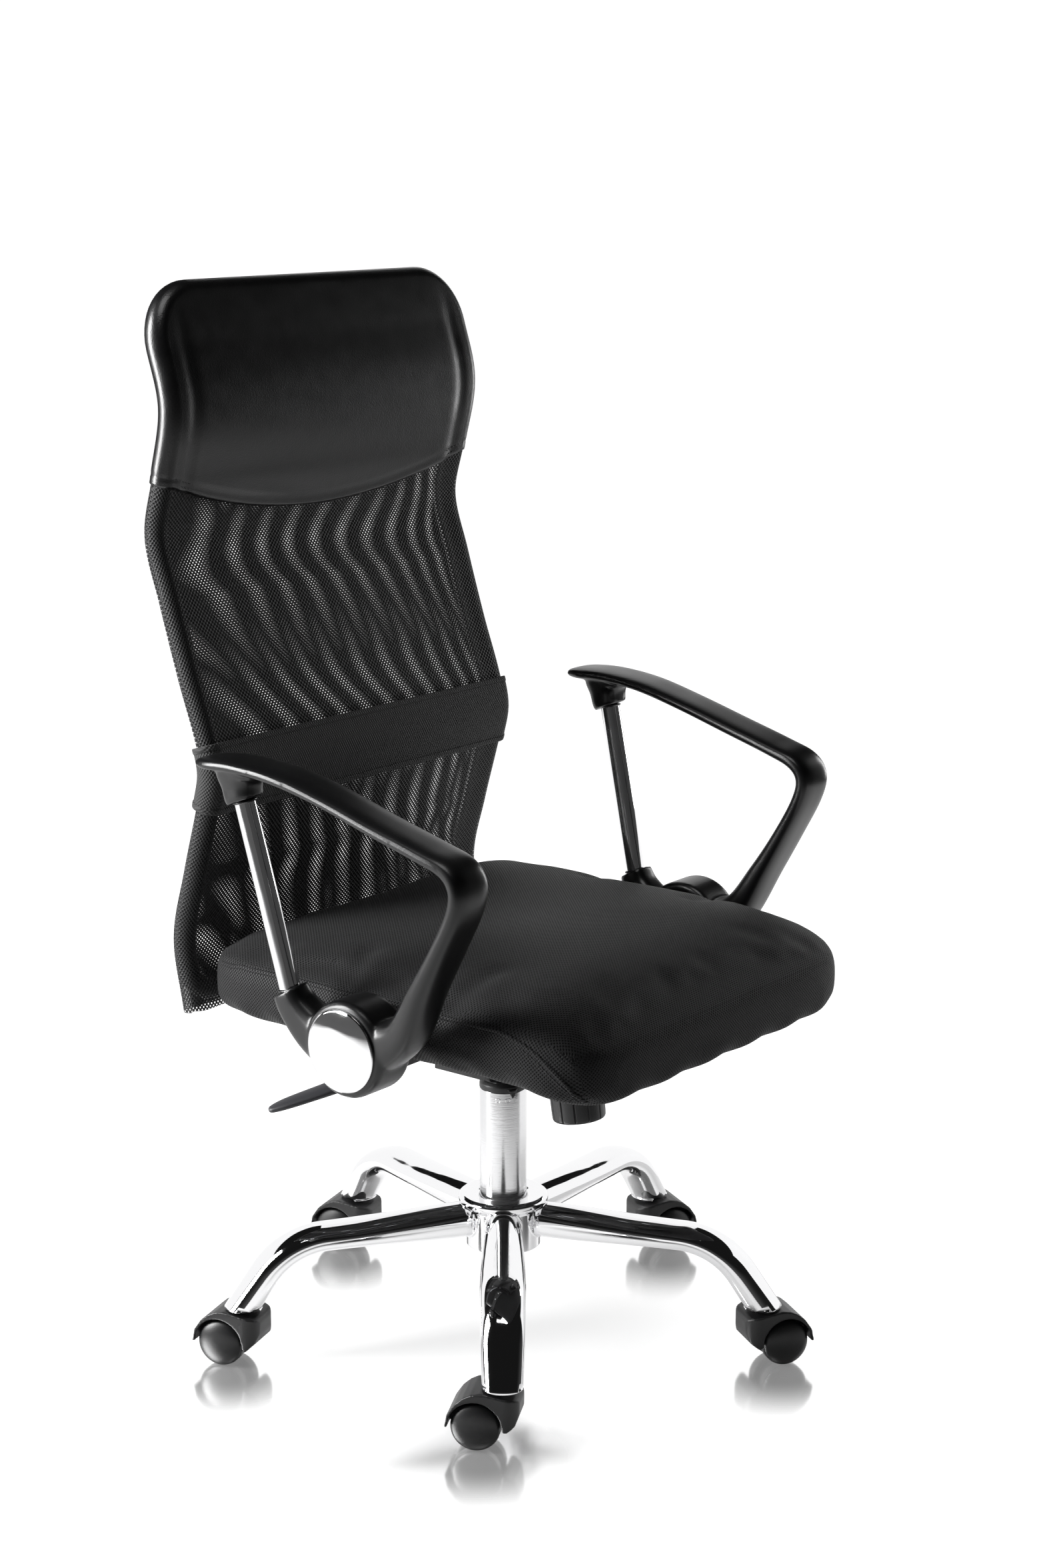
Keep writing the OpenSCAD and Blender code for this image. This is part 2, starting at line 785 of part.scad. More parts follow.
module tension_knob() {
    r = knob_d / 2;
    flutes = 12;
    seat_h = knob_h + knob_drop - spring_seat;
    color("#141414")
        at_bolt()
            translate([0, 0, -knob_drop - knob_h])
                difference() {
                    rotate_extrude($fn = 96)
                        polygon([
                            [0, 0], [r - 5, 0], [r - 2, 1.5], [r - 1, 4], [r - 1, knob_h],
                            [r - 4, knob_h], [r - 4, 12], [9, 12], [9, seat_h - 2],
                            [17, seat_h - 2], [17, seat_h], [0, seat_h]
                        ]);
                    translate([0, 0, knob_h - bolt_in_knob - 1])
                        cylinder(h = far, r = bolt_r + run_gap, $fn = 32);
                    for (i = [0 : flutes - 1])
                        rotate(360 / flutes * i)
                            translate([r - 0.2, 0, -1]) cylinder(h = knob_h + 2, r = 1.6, $fn = 24);
                }
}

// ---- Seat ----

board_half_w = seat_w / 2 - 34;
board_rear = seat_rear - 30;
board_front = -seat_d / 2 - seat_forward + 30;
board_corner_r = 80;
bend_from = board_front + 88;

// How far a soft point sinks towards the front edge
function drop_at(y) =
    let (t = max(0, (bend_from - y) / (seat_d / 2 + seat_forward + bend_from)))
    front_drop * min(t, 1.2) * min(t, 1.2);

// Side view of the board: flat, with its front rolled down
module board_side(grow) {
    steps = 6;
    ys = [for (i = [0 : steps]) bend_from + (board_front - bend_from) * i / steps];
    polygon(concat(
        [[board_rear + grow, seat_z - grow], [board_rear + grow, seat_z + board_t + grow]],
        [for (y = ys) [y, seat_z + board_t + grow - drop_at(y)]],
        [[board_front - grow, seat_z + board_t + grow - drop_at(board_front)]],
        [[board_front - grow, seat_z - grow - drop_at(board_front)]],
        [for (i = [steps : -1 : 0]) [ys[i], seat_z - grow - drop_at(ys[i])]]
    ));
}

// Plan of the board: a rectangle with round corners
module board_plan(grow) {
    r = board_corner_r + grow;
    x = board_half_w + grow - r;
    y0 = board_front - grow;
    l = board_rear - board_front + 2 * grow;
    translate([-x, y0]) square([2 * x, l]);
    translate([-x - r, y0 + r]) square([2 * (x + r), l - 2 * r]);
    for (sx = [-1, 1], y = [y0 + r, y0 + l - r])
        translate([sx * x, y]) circle(r = r, $fn = 96);
}

module board_block(grow) {
    intersection() {
        rotate([90, 0, 90])
            linear_extrude(height = 2 * (board_half_w + grow), center = true) board_side(grow);
        translate([0, 0, seat_z - far / 2]) linear_extrude(height = far) board_plan(grow);
    }
}

module seat_board() {
    color("burlywood")
        difference() {
            board_block(0);
            screw_holes(concat(plate_bolts, strap_bolts, bracket_bolts), screw_r + run_gap);
            at_bolt() translate([0, 0, 12]) cylinder(h = bolt_head - 6, r = 9, $fn = 48);
        }
}

// Rings of the cushion: [inset from the outline, height above the board's underside]
cushion_rings = [
    [40, 0], [24, 1], [12, 6], [4, 14], [0, 26], [0, 44], [2, cushion_side - 4],
    [6, cushion_side + 1], [13, cushion_side + 6], [28, cushion_side + 0.38 * cushion_crown],
    for (p = [[0.22, 0.62], [0.39, 0.82], [0.61, 0.95], [0.83, 1]])
        [p[0] * min(seat_w, seat_d) / 2, cushion_side + p[1] * cushion_crown]
];

module seat_cushion() {
    rings = [
        for (r = cushion_rings) [
            for (i = [0 : 51])
                let (half_d = (seat_d + cushion_over) / 2 - r[0],
                    p = oval(seat_w / 2 - r[0], half_d, 9, 360 / 52 * i),
                    y = p[1] - seat_forward + cushion_over / 2)
                [p[0], y, seat_z + r[1] - drop_at(y) * (r[0] > 100 ? 0.9 : 1)]
        ]
    ];
    color("#1b1b1b")
        difference() {
            loft(rings);
            board_block(soft_gap);
            translate([0, 0, seat_z - 40])
                linear_extrude(height = 40 + board_t / 2) board_plan(0);
        }
}

// ---- Back ----

frame_r = frame_d / 2;
back_half = back_w / 2;

// Side curve of the back: [share of the back's height, distance behind the seat's rear edge]
back_shape = [
    [-0.003, 24], [0.094, 35], [0.191, 18], [0.302, -5], [0.345, -11], [0.393, -3],
    [0.475, 18], [0.58, 42], [0.669, 60], [0.752, 47], [0.849, 33], [0.939, 49], [1.026, 66]
];
back_knots = [for (k = back_shape) [seat_z + back_h * k[0], seat_rear + k[1]]];
function back_y(z) = smooth_at(back_knots, z);
function back_tip(z) = (back_y(z + 1) - back_y(z - 1)) / 2;
function back_normal(z) = [0, 1, -back_tip(z)] / norm([1, back_tip(z)]);
function back_point(x, z, off) = [x, back_y(z), z] + back_normal(z) * off;

// Outline of the frame's middle line, up the right side and down the left
function corner(cx, cz, r, from, to, n) =
    [for (i = [0 : n]) let (a = from + (to - from) * i / n) [cx + r * cos(a), cz + r * sin(a)]];
upright_n = 34;
frame_loop = concat(
    [for (i = [0 : upright_n - 1])
        let (z0 = frame_low_z + frame_low_r, z1 = frame_top_z - frame_top_r)
        [back_half, z0 + (z1 - z0) * i / upright_n]],
    corner(back_half - frame_top_r, frame_top_z - frame_top_r, frame_top_r, 0, 90, 6),
    corner(-back_half + frame_top_r, frame_top_z - frame_top_r, frame_top_r, 90, 180, 6),
    [for (i = [1 : upright_n])
        let (z0 = frame_low_z + frame_low_r, z1 = frame_top_z - frame_top_r)
        [-back_half, z1 + (z0 - z1) * i / upright_n]],
    corner(-back_half + frame_low_r, frame_low_z + frame_low_r, frame_low_r, 195, 270, 4),
    corner(back_half - frame_low_r, frame_low_z + frame_low_r, frame_low_r, 270, 345, 4)
);

module back_frame() {
    n = len(frame_loop);
    color("#202020")
        loft([
            for (i = [0 : n - 1])
                let (p = frame_loop[i], a = frame_loop[(i + n - 1) % n], b = frame_loop[(i + 1) % n],
                    t = back_point(b[0], b[1], 0) - back_point(a[0], a[1], 0),
                    nn = back_normal(p[1]), side = cross(t, nn) / norm(cross(t, nn)))
                [for (k = [0 : 13])
                    back_point(p[0], p[1], 0)
                        + frame_r * (cos(360 / 14 * k) * nn + sin(360 / 14 * k) * -side)]
        ], closed = true);
}

// Flattened ring round both uprights at height z, t away from the frame's middle line
function sleeve_ring(z, half, t, n) = concat(
    [for (i = [0 : n]) let (a = 90 - 180 * i / n)
        back_point(half + t * cos(a), z, t * sin(a))],
    [for (i = [0 : n]) let (a = 270 - 180 * i / n)
        back_point(-half + t * cos(a), z, t * sin(a))]
);
function reversed(r) = [for (i = [len(r) - 1 : -1 : 0]) r[i]];
function heights(z0, z1, n) = [for (i = [0 : n]) z0 + (z1 - z0) * i / n];

// Sleeve over the uprights from z0 to z1, between two distances from their middle line
module sleeve(z0, z1, t_in, t_out, n) {
    difference() {
        loft([for (z = heights(z0, z1, n)) reversed(sleeve_ring(z, back_half, t_out, 8))]);
        loft([for (z = heights(z0 - 2, z1 + 2, n))
            reversed(sleeve_ring(z, back_half, t_in, 8))]);
    }
}

sleeve_in = frame_r + bend_gap;
sleeve_out = sleeve_in + sleeve_t;
band_in = sleeve_out + 0.8;
band_out = band_in + 1.8;
sleeve_low_z = seat_z + soft_gap;

module back_mesh() {
    color("#242424") sleeve(sleeve_low_z, headrest_low_z - 1, sleeve_in, sleeve_out, 30);
}

module lumbar_band() {
    color("#0c0c0c")
        sleeve(lumbar_low_z, lumbar_low_z + lumbar_h, band_in, band_out, 6);
}

module lumbar_bar() {
    bar_t = 5;
    bar_half = back_half - frame_r + 2;
    zs = heights(lumbar_low_z + 10, lumbar_low_z + lumbar_h - 10, 4);
    color("#333333")
        loft([
            for (z = zs) [
                back_point(-bar_half, z, -bar_t / 2), back_point(bar_half, z, -bar_t / 2),
                back_point(bar_half, z, bar_t / 2), back_point(-bar_half, z, bar_t / 2)
            ]
        ]);
}

// Half width of the headrest at height z, for a cover that ends at top with corners r
function cover_half(z, top, r) =
    z <= top - r ? 0 : r - sqrt(max(0, r * r - pow(z - top + r, 2)));

// Solid that wraps the top of the frame, grow thicker than the frame's tube
module cover_solid(grow, low) {
    t = frame_r + grow;
    top = frame_top_z + t;
    r = frame_top_r + t;
    straight = heights(low, top - r, 9);
    bend = [for (a = [10 : 10 : 80]) top - r + r * sin(a)];
    loft([
        for (z = concat(straight, bend, [top - 0.4]))
            let (shrink = cover_half(z, top, r), thin = z > top - t ?
                sqrt(max(0.02, 1 - pow((z - top + t) / t, 2))) : 1)
            reversed(sleeve_ring(z, back_half - shrink, t * max(thin, 0.2), 8))
    ]);
}

module headrest_cover() {
    color("#161616")
        difference() {
            cover_solid(headrest_pad, headrest_low_z);
            cover_solid(bend_gap, headrest_low_z - 5);
        }
}

module frame_straps() {
    y1 = back_y(frame_low_z) + 6;
    color("#202020")
        difference() {
            for (s = [-1, 1])
                translate([s * strap_x - 20, strap_front + 5, seat_z - strap_t])
                    cube([40, y1 - strap_front - 5, strap_t]);
            screw_holes(strap_bolts, screw_r + run_gap);
            translate([0, back_y(frame_low_z), frame_low_z])
                rotate([0, 90, 0]) cylinder(h = far, r = frame_r + 0.1, center = true);
        }
}

// ---- Arms ----

boss_in = seat_w / 2 + 6;
boss_out = boss_in + 49;
arm_bolt_r = 5;
arm_bolt_in = 8;
socket_depth = 22;
brace_r = brace_d / 2;

// Middle line of the arm: [forward, height, x, width, thickness]
arm_knots = [
    [135, arm_z - 10, arm_x + 5, 12, 5],
    [130, arm_z - 8.5, arm_x + 5, 34, 9],
    [112, arm_z - 7, arm_x + 5, 50, arm_t],
    [76, arm_z - 6, arm_x + 4, arm_w, arm_t],
    [26, arm_z - 11, arm_x + 2, arm_w, arm_t],
    [-30, arm_z - 24, arm_x, arm_w, arm_t],
    [-92, arm_z - 42, arm_x, arm_w, arm_t + 1],
    [-148, arm_z - 58, arm_x - 1, arm_w, arm_t + 2],
    [-179, arm_z - 69, arm_x - 2, arm_w - 1, arm_t + 4],
    [-191, arm_z - 86, arm_x - 2, arm_w - 2, arm_t + 5],
    [-186, arm_z - 111, arm_x - 3, arm_w - 2, arm_t + 5],
    [-165, arm_z - 151, arm_x - 4, arm_w - 2, arm_t + 6],
    [-139, arm_z - 195, arm_x - 6, arm_w - 2, arm_t + 11],
    [-110, boss_z + 26, arm_x - 11, arm_w - 4, arm_t + 22],
    [-76, boss_z + 5, arm_x - 12.5, arm_w - 5, arm_t + 40]
];
// Neck from the boss up to the lower tube socket
neck_knots = [
    [-30, boss_z - 10, arm_x - 12.5, arm_w - 6, 58],
    [4, boss_z + 6, arm_x - 11, arm_w - 9, 46],
    [26, boss_z + 25, arm_x - 8, 37, 36],
    [36.5, boss_z + 42, arm_x - 6.5, 33, 32]
];
// Upper tube socket, which widens into the armrest
socket_knots = [
    [82, arm_z - 42, arm_x + 4, 31, 31],
    [83, arm_z - 39, arm_x + 4, 34, 34],
    [85, arm_z - 27, arm_x + 4, 36, 37],
    [86, arm_z - 16, arm_x + 4, 42, 46],
    [84, arm_z - 8.5, arm_x + 4, 45, 54]
];
brace_low = [arm_x - 6.5, 36.5, boss_z + 42];
brace_high = [arm_x + 4, 82, arm_z - 42];

// Ring across the arm at p, for a path that runs along d in the side view
function arm_ring(p, d, n) =
    let (u = [d[0], d[1]] / norm([d[0], d[1]]))
    [for (i = [0 : n - 1])
        let (q = oval(p[3] / 2, p[4] / 2, 2.8, 360 / n * i))
        [p[2] + q[0], p[0] - u[1] * q[1], p[1] + u[0] * q[1]]];

module arm_sweep(knots, steps, n) {
    path = curve(knots, steps);
    loft([for (i = [0 : len(path) - 1]) reversed(arm_ring(path[i], along(path, i), n))]);
}

// Round bar between two points, longer by extra at both ends
module bar(a, b, r, extra) {
    d = b - a;
    l = norm(d);
    translate(a)
        rotate([0, acos(d[2] / l), atan2(d[1], d[0])])
            translate([0, 0, -extra]) cylinder(h = l + 2 * extra, r = r, $fn = 48);
}

module arm_body() {
    difference() {
        union() {
            arm_sweep(arm_knots, 2, 18);
            arm_sweep(neck_knots, 2, 18);
            arm_sweep(socket_knots, 2, 18);
            translate([boss_in, -boss_forward, boss_z])
                rotate([0, 90, 0]) cylinder(h = boss_out - boss_in, r = boss_r, $fn = 96);
        }
        bar(brace_low, brace_high, brace_r, socket_depth);
        translate([0, -boss_forward, boss_z])
            rotate([0, 90, 0]) cylinder(h = far, r = arm_bolt_r + run_gap, $fn = 48);
        translate([boss_out - arm_bolt_in, -boss_forward, boss_z])
            rotate([0, 90, 0]) cylinder(h = far, r = 12, $fn = 48);
    }
}

module right_side() {
    mirror([1, 0, 0]) children();
}

module both_sides() {
    children();
    mirror([1, 0, 0]) children();
}

module arm_brackets() {
    bracket_t = 5.6;
    color("#1a1a1a")
        both_sides()
            difference() {
                union() {
                    translate([84, -boss_forward - 20, seat_z - strap_t])
                        cube([boss_in - 84, 40, strap_t]);
                    translate([boss_in - bracket_t, -boss_forward - 20, seat_z - strap_t])
                        cube([bracket_t, 40, boss_z - seat_z + strap_t]);
                    translate([boss_in - bracket_t, -boss_forward, boss_z])
                        rotate([0, 90, 0]) cylinder(h = bracket_t, r = 30);
                }
                screw_holes(bracket_bolts, screw_r + run_gap);
                translate([0, -boss_forward, boss_z])
                    rotate([0, 90, 0]) cylinder(h = far, r = arm_bolt_r, $fn = 48);
            }
}

module arm_bolts() {
    color("silver")
        both_sides()
            translate([0, -boss_forward, boss_z])
                rotate([0, 90, 0]) {
                    translate([0, 0, boss_in - 5.6])
                        cylinder(h = boss_out - arm_bolt_in - boss_in + 5.6, r = arm_bolt_r);
                    translate([0, 0, boss_out - arm_bolt_in]) cylinder(h = 5, r = 10, $fn = 6);
                }
}

module arm_discs() {
    dome = 3.5;
    rim = 2.5;
    sphere_r = (disc_r * disc_r + dome * dome) / (2 * dome);
    color("silver")
        both_sides()
            translate([boss_out, -boss_forward, boss_z])
                rotate([0, 90, 0])
                    intersection() {
                        cylinder(h = rim + dome, r = disc_r, $fn = 96);
                        translate([0, 0, rim + dome - sphere_r])
                            sphere(r = sphere_r, $fn = 200);
                    }
}

module seat_bolts() {
    color("silver") {
        for (p = plate_bolts) screw(p, seat_plate_t);
        for (p = concat(strap_bolts, bracket_bolts)) screw(p, strap_t);
    }
}

// Screw into the board through a plate of the given thickness
module screw(p, through) {
    translate([p[0], p[1], seat_z - through]) {
        cylinder(h = through + board_t - 1, r = screw_r, $fn = 32);
        translate([0, 0, -3.5]) cylinder(h = 3.5, r = 5.5, $fn = 48);
    }
}

hub();
base_legs();
stem_sockets();
caster_stems();
column_tube();
guide_bushing();
thrust_bearing();
piston_rod();
rod_clip();
rubber_bumper();
gas_cylinder();
release_pin();
mechanism_housing();
lever_bush();
lever_pin();
height_lever();
lever_paddle();
tension_spring();
tilt_pin();
seat_plate();
tension_bolt();
tension_knob();
seat_board();
seat_cushion();
frame_straps();
back_frame();
lumbar_bar();
back_mesh();
lumbar_band();
headrest_cover();
arm_brackets();
color("#141414") right_side() arm_body();  // armrest_right
color("#141414") arm_body();  // armrest_left
color("silver") right_side() bar(brace_low, brace_high, brace_r, socket_depth);  // arm_brace_right
color("silver") bar(brace_low, brace_high, brace_r, socket_depth);  // arm_brace_left
arm_bolts();
arm_discs();
seat_bolts();
for (i = [0 : 4]) {
    caster_hood(i);
    caster_axle(i);
    caster_wheel(i, 1);
    caster_wheel(i, -1);
}
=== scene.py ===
import json
import math

import bmesh
import bpy
import numpy as np
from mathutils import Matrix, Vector
from mathutils.bvhtree import BVHTree


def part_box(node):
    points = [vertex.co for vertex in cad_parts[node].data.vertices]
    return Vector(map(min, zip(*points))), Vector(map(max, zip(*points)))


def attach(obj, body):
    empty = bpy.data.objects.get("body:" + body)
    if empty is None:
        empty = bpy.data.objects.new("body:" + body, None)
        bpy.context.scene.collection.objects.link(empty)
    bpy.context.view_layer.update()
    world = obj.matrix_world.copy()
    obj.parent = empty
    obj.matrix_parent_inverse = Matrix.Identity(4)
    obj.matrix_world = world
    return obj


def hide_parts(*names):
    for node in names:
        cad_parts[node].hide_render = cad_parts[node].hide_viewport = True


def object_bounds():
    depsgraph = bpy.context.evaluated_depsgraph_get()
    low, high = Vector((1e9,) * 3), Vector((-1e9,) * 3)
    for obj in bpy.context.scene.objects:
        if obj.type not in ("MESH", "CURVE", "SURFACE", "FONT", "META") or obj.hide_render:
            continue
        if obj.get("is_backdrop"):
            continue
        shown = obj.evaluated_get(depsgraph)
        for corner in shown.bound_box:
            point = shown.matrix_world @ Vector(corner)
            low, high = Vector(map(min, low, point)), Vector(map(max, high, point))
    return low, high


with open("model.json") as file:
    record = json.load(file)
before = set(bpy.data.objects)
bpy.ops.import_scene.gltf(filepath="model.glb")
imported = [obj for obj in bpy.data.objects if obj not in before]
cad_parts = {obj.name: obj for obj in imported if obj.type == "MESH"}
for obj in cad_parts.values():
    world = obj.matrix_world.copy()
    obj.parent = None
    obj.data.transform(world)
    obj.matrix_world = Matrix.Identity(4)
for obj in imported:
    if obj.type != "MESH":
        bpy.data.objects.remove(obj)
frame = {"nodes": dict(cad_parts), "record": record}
cadBox = [list(map(float, corner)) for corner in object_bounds()]
scene = bpy.context.scene
bodyOf = {node: body for body, nodes in frame["record"]["behaviour"]["bodies"].items() for node in nodes}
slotOf = {part["node"]: part["material_slot"] for part in frame["record"]["subparts"]}
print("frame loaded:", len(frame["nodes"]), "nodes")


def boxOf(node):
    low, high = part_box(node)
    return np.array(low), np.array(high)


# ---- camera ----

view = {"place": (-2.2178, -1.7699, 1.2546), "towards": (0.7660, 0.6023, -0.2244), "lens": 64.79, "sensor": 36}

cameraData = bpy.data.cameras.new("camera")
cameraData.sensor_fit = "VERTICAL"
cameraData.sensor_height = view["sensor"]
cameraData.lens = view["lens"]
camera = bpy.data.objects.new("camera", cameraData)
camera.location = view["place"]
camera.rotation_euler = Vector(view["towards"]).to_track_quat("-Z", "Y").to_euler()
scene.collection.objects.link(camera)
scene.camera = camera
print("camera placed")


# ---- nodes for materials ----

def linearColour(code):
    # sRGB to linear, channel by channel
    s = np.array([int(code[i:i + 2], 16) for i in (1, 3, 5)]) / 255
    rgb = np.where(s <= 0.04045, s / 12.92, ((s + 0.055) / 1.055) ** 2.4)
    return (*rgb.tolist(), 1.0)


def addNode(tree, kind, inputs=None, **settings):
    # one node with its settings; an input takes either a value or another node's output
    node = tree.nodes.new("ShaderNode" + kind)
    for name, value in settings.items():
        setattr(node, name, value)
    for name, value in (inputs or {}).items():
        if isinstance(value, bpy.types.NodeSocket):
            tree.links.new(value, node.inputs[name])
        else:
            node.inputs[name].default_value = value
    return node


def startMaterial(name, colour, roughness, metallic=0.0, **sockets):
    material = bpy.data.materials.new(name)
    material.use_nodes = True
    tree = material.node_tree
    tree.nodes.clear()
    shader = addNode(tree, "BsdfPrincipled", {
        "Base Color": linearColour(colour), "Roughness": roughness, "Metallic": metallic, **sockets})
    addNode(tree, "OutputMaterial", {"Surface": shader.outputs[0]})
    return material, tree, shader


def objectPlace(tree, scale=(1, 1, 1), turn=(0, 0, 0)):
    place = addNode(tree, "TexCoord")
    return addNode(tree, "Mapping", {
        "Vector": place.outputs["Object"], "Scale": scale, "Rotation": turn}).outputs[0]


def addBump(tree, shader, height, depth, strength=1.0):
    bump = addNode(tree, "Bump", {"Height": height, "Distance": depth, "Strength": strength})
    tree.links.new(bump.outputs[0], shader.inputs["Normal"])


def spread(tree, value, low, high):
    # carries a value from 0-1 to low-high
    return addNode(tree, "MapRange", {"Value": value, "To Min": low, "To Max": high}).outputs[0]


def math2(tree, operation, a, b=0.0):
    return addNode(tree, "Math", {0: a, 1: b}, operation=operation).outputs[0]


def latticeHeight(tree, vector, pitch, across=1.0):
    # sin(2 pi u / pitch) sin(2 pi v / pitch): +1 and -1 in a chequer, so the holes stand in diagonal rows
    parts = addNode(tree, "SeparateXYZ", {0: vector})
    waves = [
        math2(tree, "SINE", math2(tree, "MULTIPLY", parts.outputs[k], 2 * math.pi / (pitch * scale)))
        for k, scale in ((0, across), (1, 1.0))]
    return math2(tree, "MULTIPLY", waves[0], waves[1])


# ---- metals ----

def chromePlate():
    # bright nickel-chrome plate on bent steel tube: a mirror with a trace of polishing waves
    material, tree, shader = startMaterial("chromePlate", "#F2F2F3", 0.035, 1.0)
    waves = addNode(tree, "TexNoise", {"Vector": objectPlace(tree), "Scale": 22.0, "Detail": 1.0})
    haze = addNode(tree, "TexNoise", {"Vector": objectPlace(tree), "Scale": 90.0, "Detail": 4.0})
    tree.links.new(spread(tree, haze.outputs["Fac"], 0.02, 0.07), shader.inputs["Roughness"])
    addBump(tree, shader, waves.outputs["Fac"], 0.0006)
    return material


def satinChrome():
    # chrome on a ground tube: grinding marks round the tube blur the mirror a little
    material, tree, shader = startMaterial("satinChrome", "#E6E6E7", 0.16, 1.0)
    marks = addNode(tree, "TexNoise", {
        "Vector": objectPlace(tree, scale=(1, 1, 40)), "Scale": 40.0, "Detail": 5.0})
    tree.links.new(spread(tree, marks.outputs["Fac"], 0.11, 0.22), shader.inputs["Roughness"])
    addBump(tree, shader, marks.outputs["Fac"], 0.0001)
    return material


def zincSteel():
    # bright zinc plate: grey, slightly cloudy
    material, tree, shader = startMaterial("zincSteel", "#B9BBBD", 0.33, 1.0)
    cloud = addNode(tree, "TexNoise", {"Vector": objectPlace(tree), "Scale": 140.0, "Detail": 6.0})
    tree.links.new(spread(tree, cloud.outputs["Fac"], 0.24, 0.42), shader.inputs["Roughness"])
    addBump(tree, shader, cloud.outputs["Fac"], 0.0001)
    return material


def groundSteel():
    # centreless-ground and polished rod
    material, tree, shader = startMaterial("groundSteel", "#D2D3D5", 0.14, 1.0)
    marks = addNode(tree, "TexNoise", {
        "Vector": objectPlace(tree, scale=(1, 1, 60)), "Scale": 50.0, "Detail": 4.0})
    tree.links.new(spread(tree, marks.outputs["Fac"], 0.09, 0.2), shader.inputs["Roughness"])
    return material


def springSteel():
    # oil-dark drawn wire
    material, tree, shader = startMaterial("springSteel", "#3C3C3E", 0.38, 1.0)
    cloud = addNode(tree, "TexNoise", {"Vector": objectPlace(tree), "Scale": 300.0, "Detail": 5.0})
    tree.links.new(spread(tree, cloud.outputs["Fac"], 0.28, 0.5), shader.inputs["Roughness"])
    return material


def turnedBrass():
    # turned brass with fine tool marks
    material, tree, shader = startMaterial("turnedBrass", "#C9A557", 0.28, 1.0)
    marks = addNode(tree, "TexNoise", {
        "Vector": objectPlace(tree, scale=(1, 1, 30)), "Scale": 200.0, "Detail": 3.0})
    addBump(tree, shader, marks.outputs["Fac"], 0.0001)
    return material


def powderCoat():
    # black polyester powder coat: orange peel about 2 mm across
    material, tree, shader = startMaterial("powderCoat", "#101011", 0.45)
    peel = addNode(tree, "TexNoise", {"Vector": objectPlace(tree), "Scale": 480.0, "Detail": 2.0})
    tree.links.new(spread(tree, peel.outputs["Fac"], 0.36, 0.55), shader.inputs["Roughness"])
    addBump(tree, shader, peel.outputs["Fac"], 0.0003, 0.5)
    return material


# ---- plastics, rubber and wood ----

def mouldedPlastic(name, colour, roughness, grain, depth):
    # injection-moulded plastic: spark-eroded grain from the mould, and faint flow clouds
    material, tree, shader = startMaterial(name, colour, roughness)
    pits = addNode(tree, "TexNoise", {"Vector": objectPlace(tree), "Scale": 1 / grain, "Detail": 3.0})
    flow = addNode(tree, "TexNoise", {"Vector": objectPlace(tree), "Scale": 28.0, "Detail": 3.0})
    uneven = spread(tree, flow.outputs["Fac"], roughness - 0.05, roughness + 0.06)
    tree.links.new(uneven, shader.inputs["Roughness"])
    addBump(tree, shader, pits.outputs["Fac"], depth, 0.6)
    return material


def rubberMoulded():
    # black nitrile rubber: dull, with a bloom of dust
    material, tree, shader = startMaterial("rubber", "#1A1A1A", 0.75)
    bloom = addNode(tree, "TexNoise", {"Vector": objectPlace(tree), "Scale": 120.0, "Detail": 5.0})
    tree.links.new(spread(tree, bloom.outputs["Fac"], 0.62, 0.88), shader.inputs["Roughness"])
    return material


def pressedPlywood():
    # beech veneers pressed in layers: long grain on the faces, a ply every 1.5 mm on the edges
    material, tree, shader = startMaterial("plywood", "#B58A5C", 0.6)
    grain = addNode(tree, "TexNoise", {
        "Vector": objectPlace(tree, scale=(60, 3, 60)), "Scale": 6.0, "Detail": 6.0})
    plies = addNode(tree, "TexWave", {
        "Vector": objectPlace(tree), "Scale": 0.314 / 0.003, "Distortion": 0.4},
        bands_direction="Z")
    shade = addNode(tree, "ValToRGB", {"Fac": math2(
        tree, "ADD", math2(tree, "MULTIPLY", grain.outputs["Fac"], 0.75), math2(
            tree, "MULTIPLY", plies.outputs["Fac"], 0.25))})
    shade.color_ramp.elements[0].color = linearColour("#8B6238")
    shade.color_ramp.elements[1].color = linearColour("#D0A878")
    tree.links.new(shade.outputs["Color"], shader.inputs["Base Color"])
    addBump(tree, shader, grain.outputs["Fac"], 0.0002)
    return material


# ---- fabrics and leather ----

knit = {"pitch": 0.0038, "depth": 0.0009}


def seatKnit():
    # polyester spacer mesh: raised threads round small holes 2.7 mm apart in diagonal rows, with painted shade in the
    # holes, which are coloured near black
    material, tree, shader = startMaterial("seatKnit", "#1B1B1C", 0.7, **{
        "Sheen Weight": 0.03, "Specular IOR Level": 0.2})
    place = addNode(tree, "UVMap", uv_map="weave").outputs[0]
    height = latticeHeight(tree, place, knit["pitch"])
    fuzz = addNode(tree, "TexNoise", {"Vector": place, "Scale": 900.0, "Detail": 2.0})
    soil = addNode(tree, "TexNoise", {"Vector": place, "Scale": 9.0, "Detail": 3.0})
    holes = addNode(tree, "MapRange", {"Value": height, "From Min": -0.1, "From Max": 0.6})
    thread = math2(tree, "SUBTRACT", 1.0, holes.outputs[0])
    shade = addNode(tree, "ValToRGB", {"Fac": math2(
        tree, "MULTIPLY", thread, spread(tree, soil.outputs["Fac"], 0.7, 1.0))})
    # colour in the holes: painted shade, near black
    shade.color_ramp.elements[0].color = linearColour("#010101")
    shade.color_ramp.elements[1].color = linearColour("#1F1F20")
    tree.links.new(shade.outputs["Color"], shader.inputs["Base Color"])
    tree.links.new(spread(tree, thread, 0.9, 0.55), shader.inputs["Roughness"])
    relief = math2(tree, "ADD", thread, math2(tree, "MULTIPLY", fuzz.outputs["Fac"], 0.25))
    addBump(tree, shader, relief, knit["depth"], 0.8)
    return material


weave = {"pitch": 0.0050, "stretch": 0.112, "skew": 0.040, "wave": 0.0011}


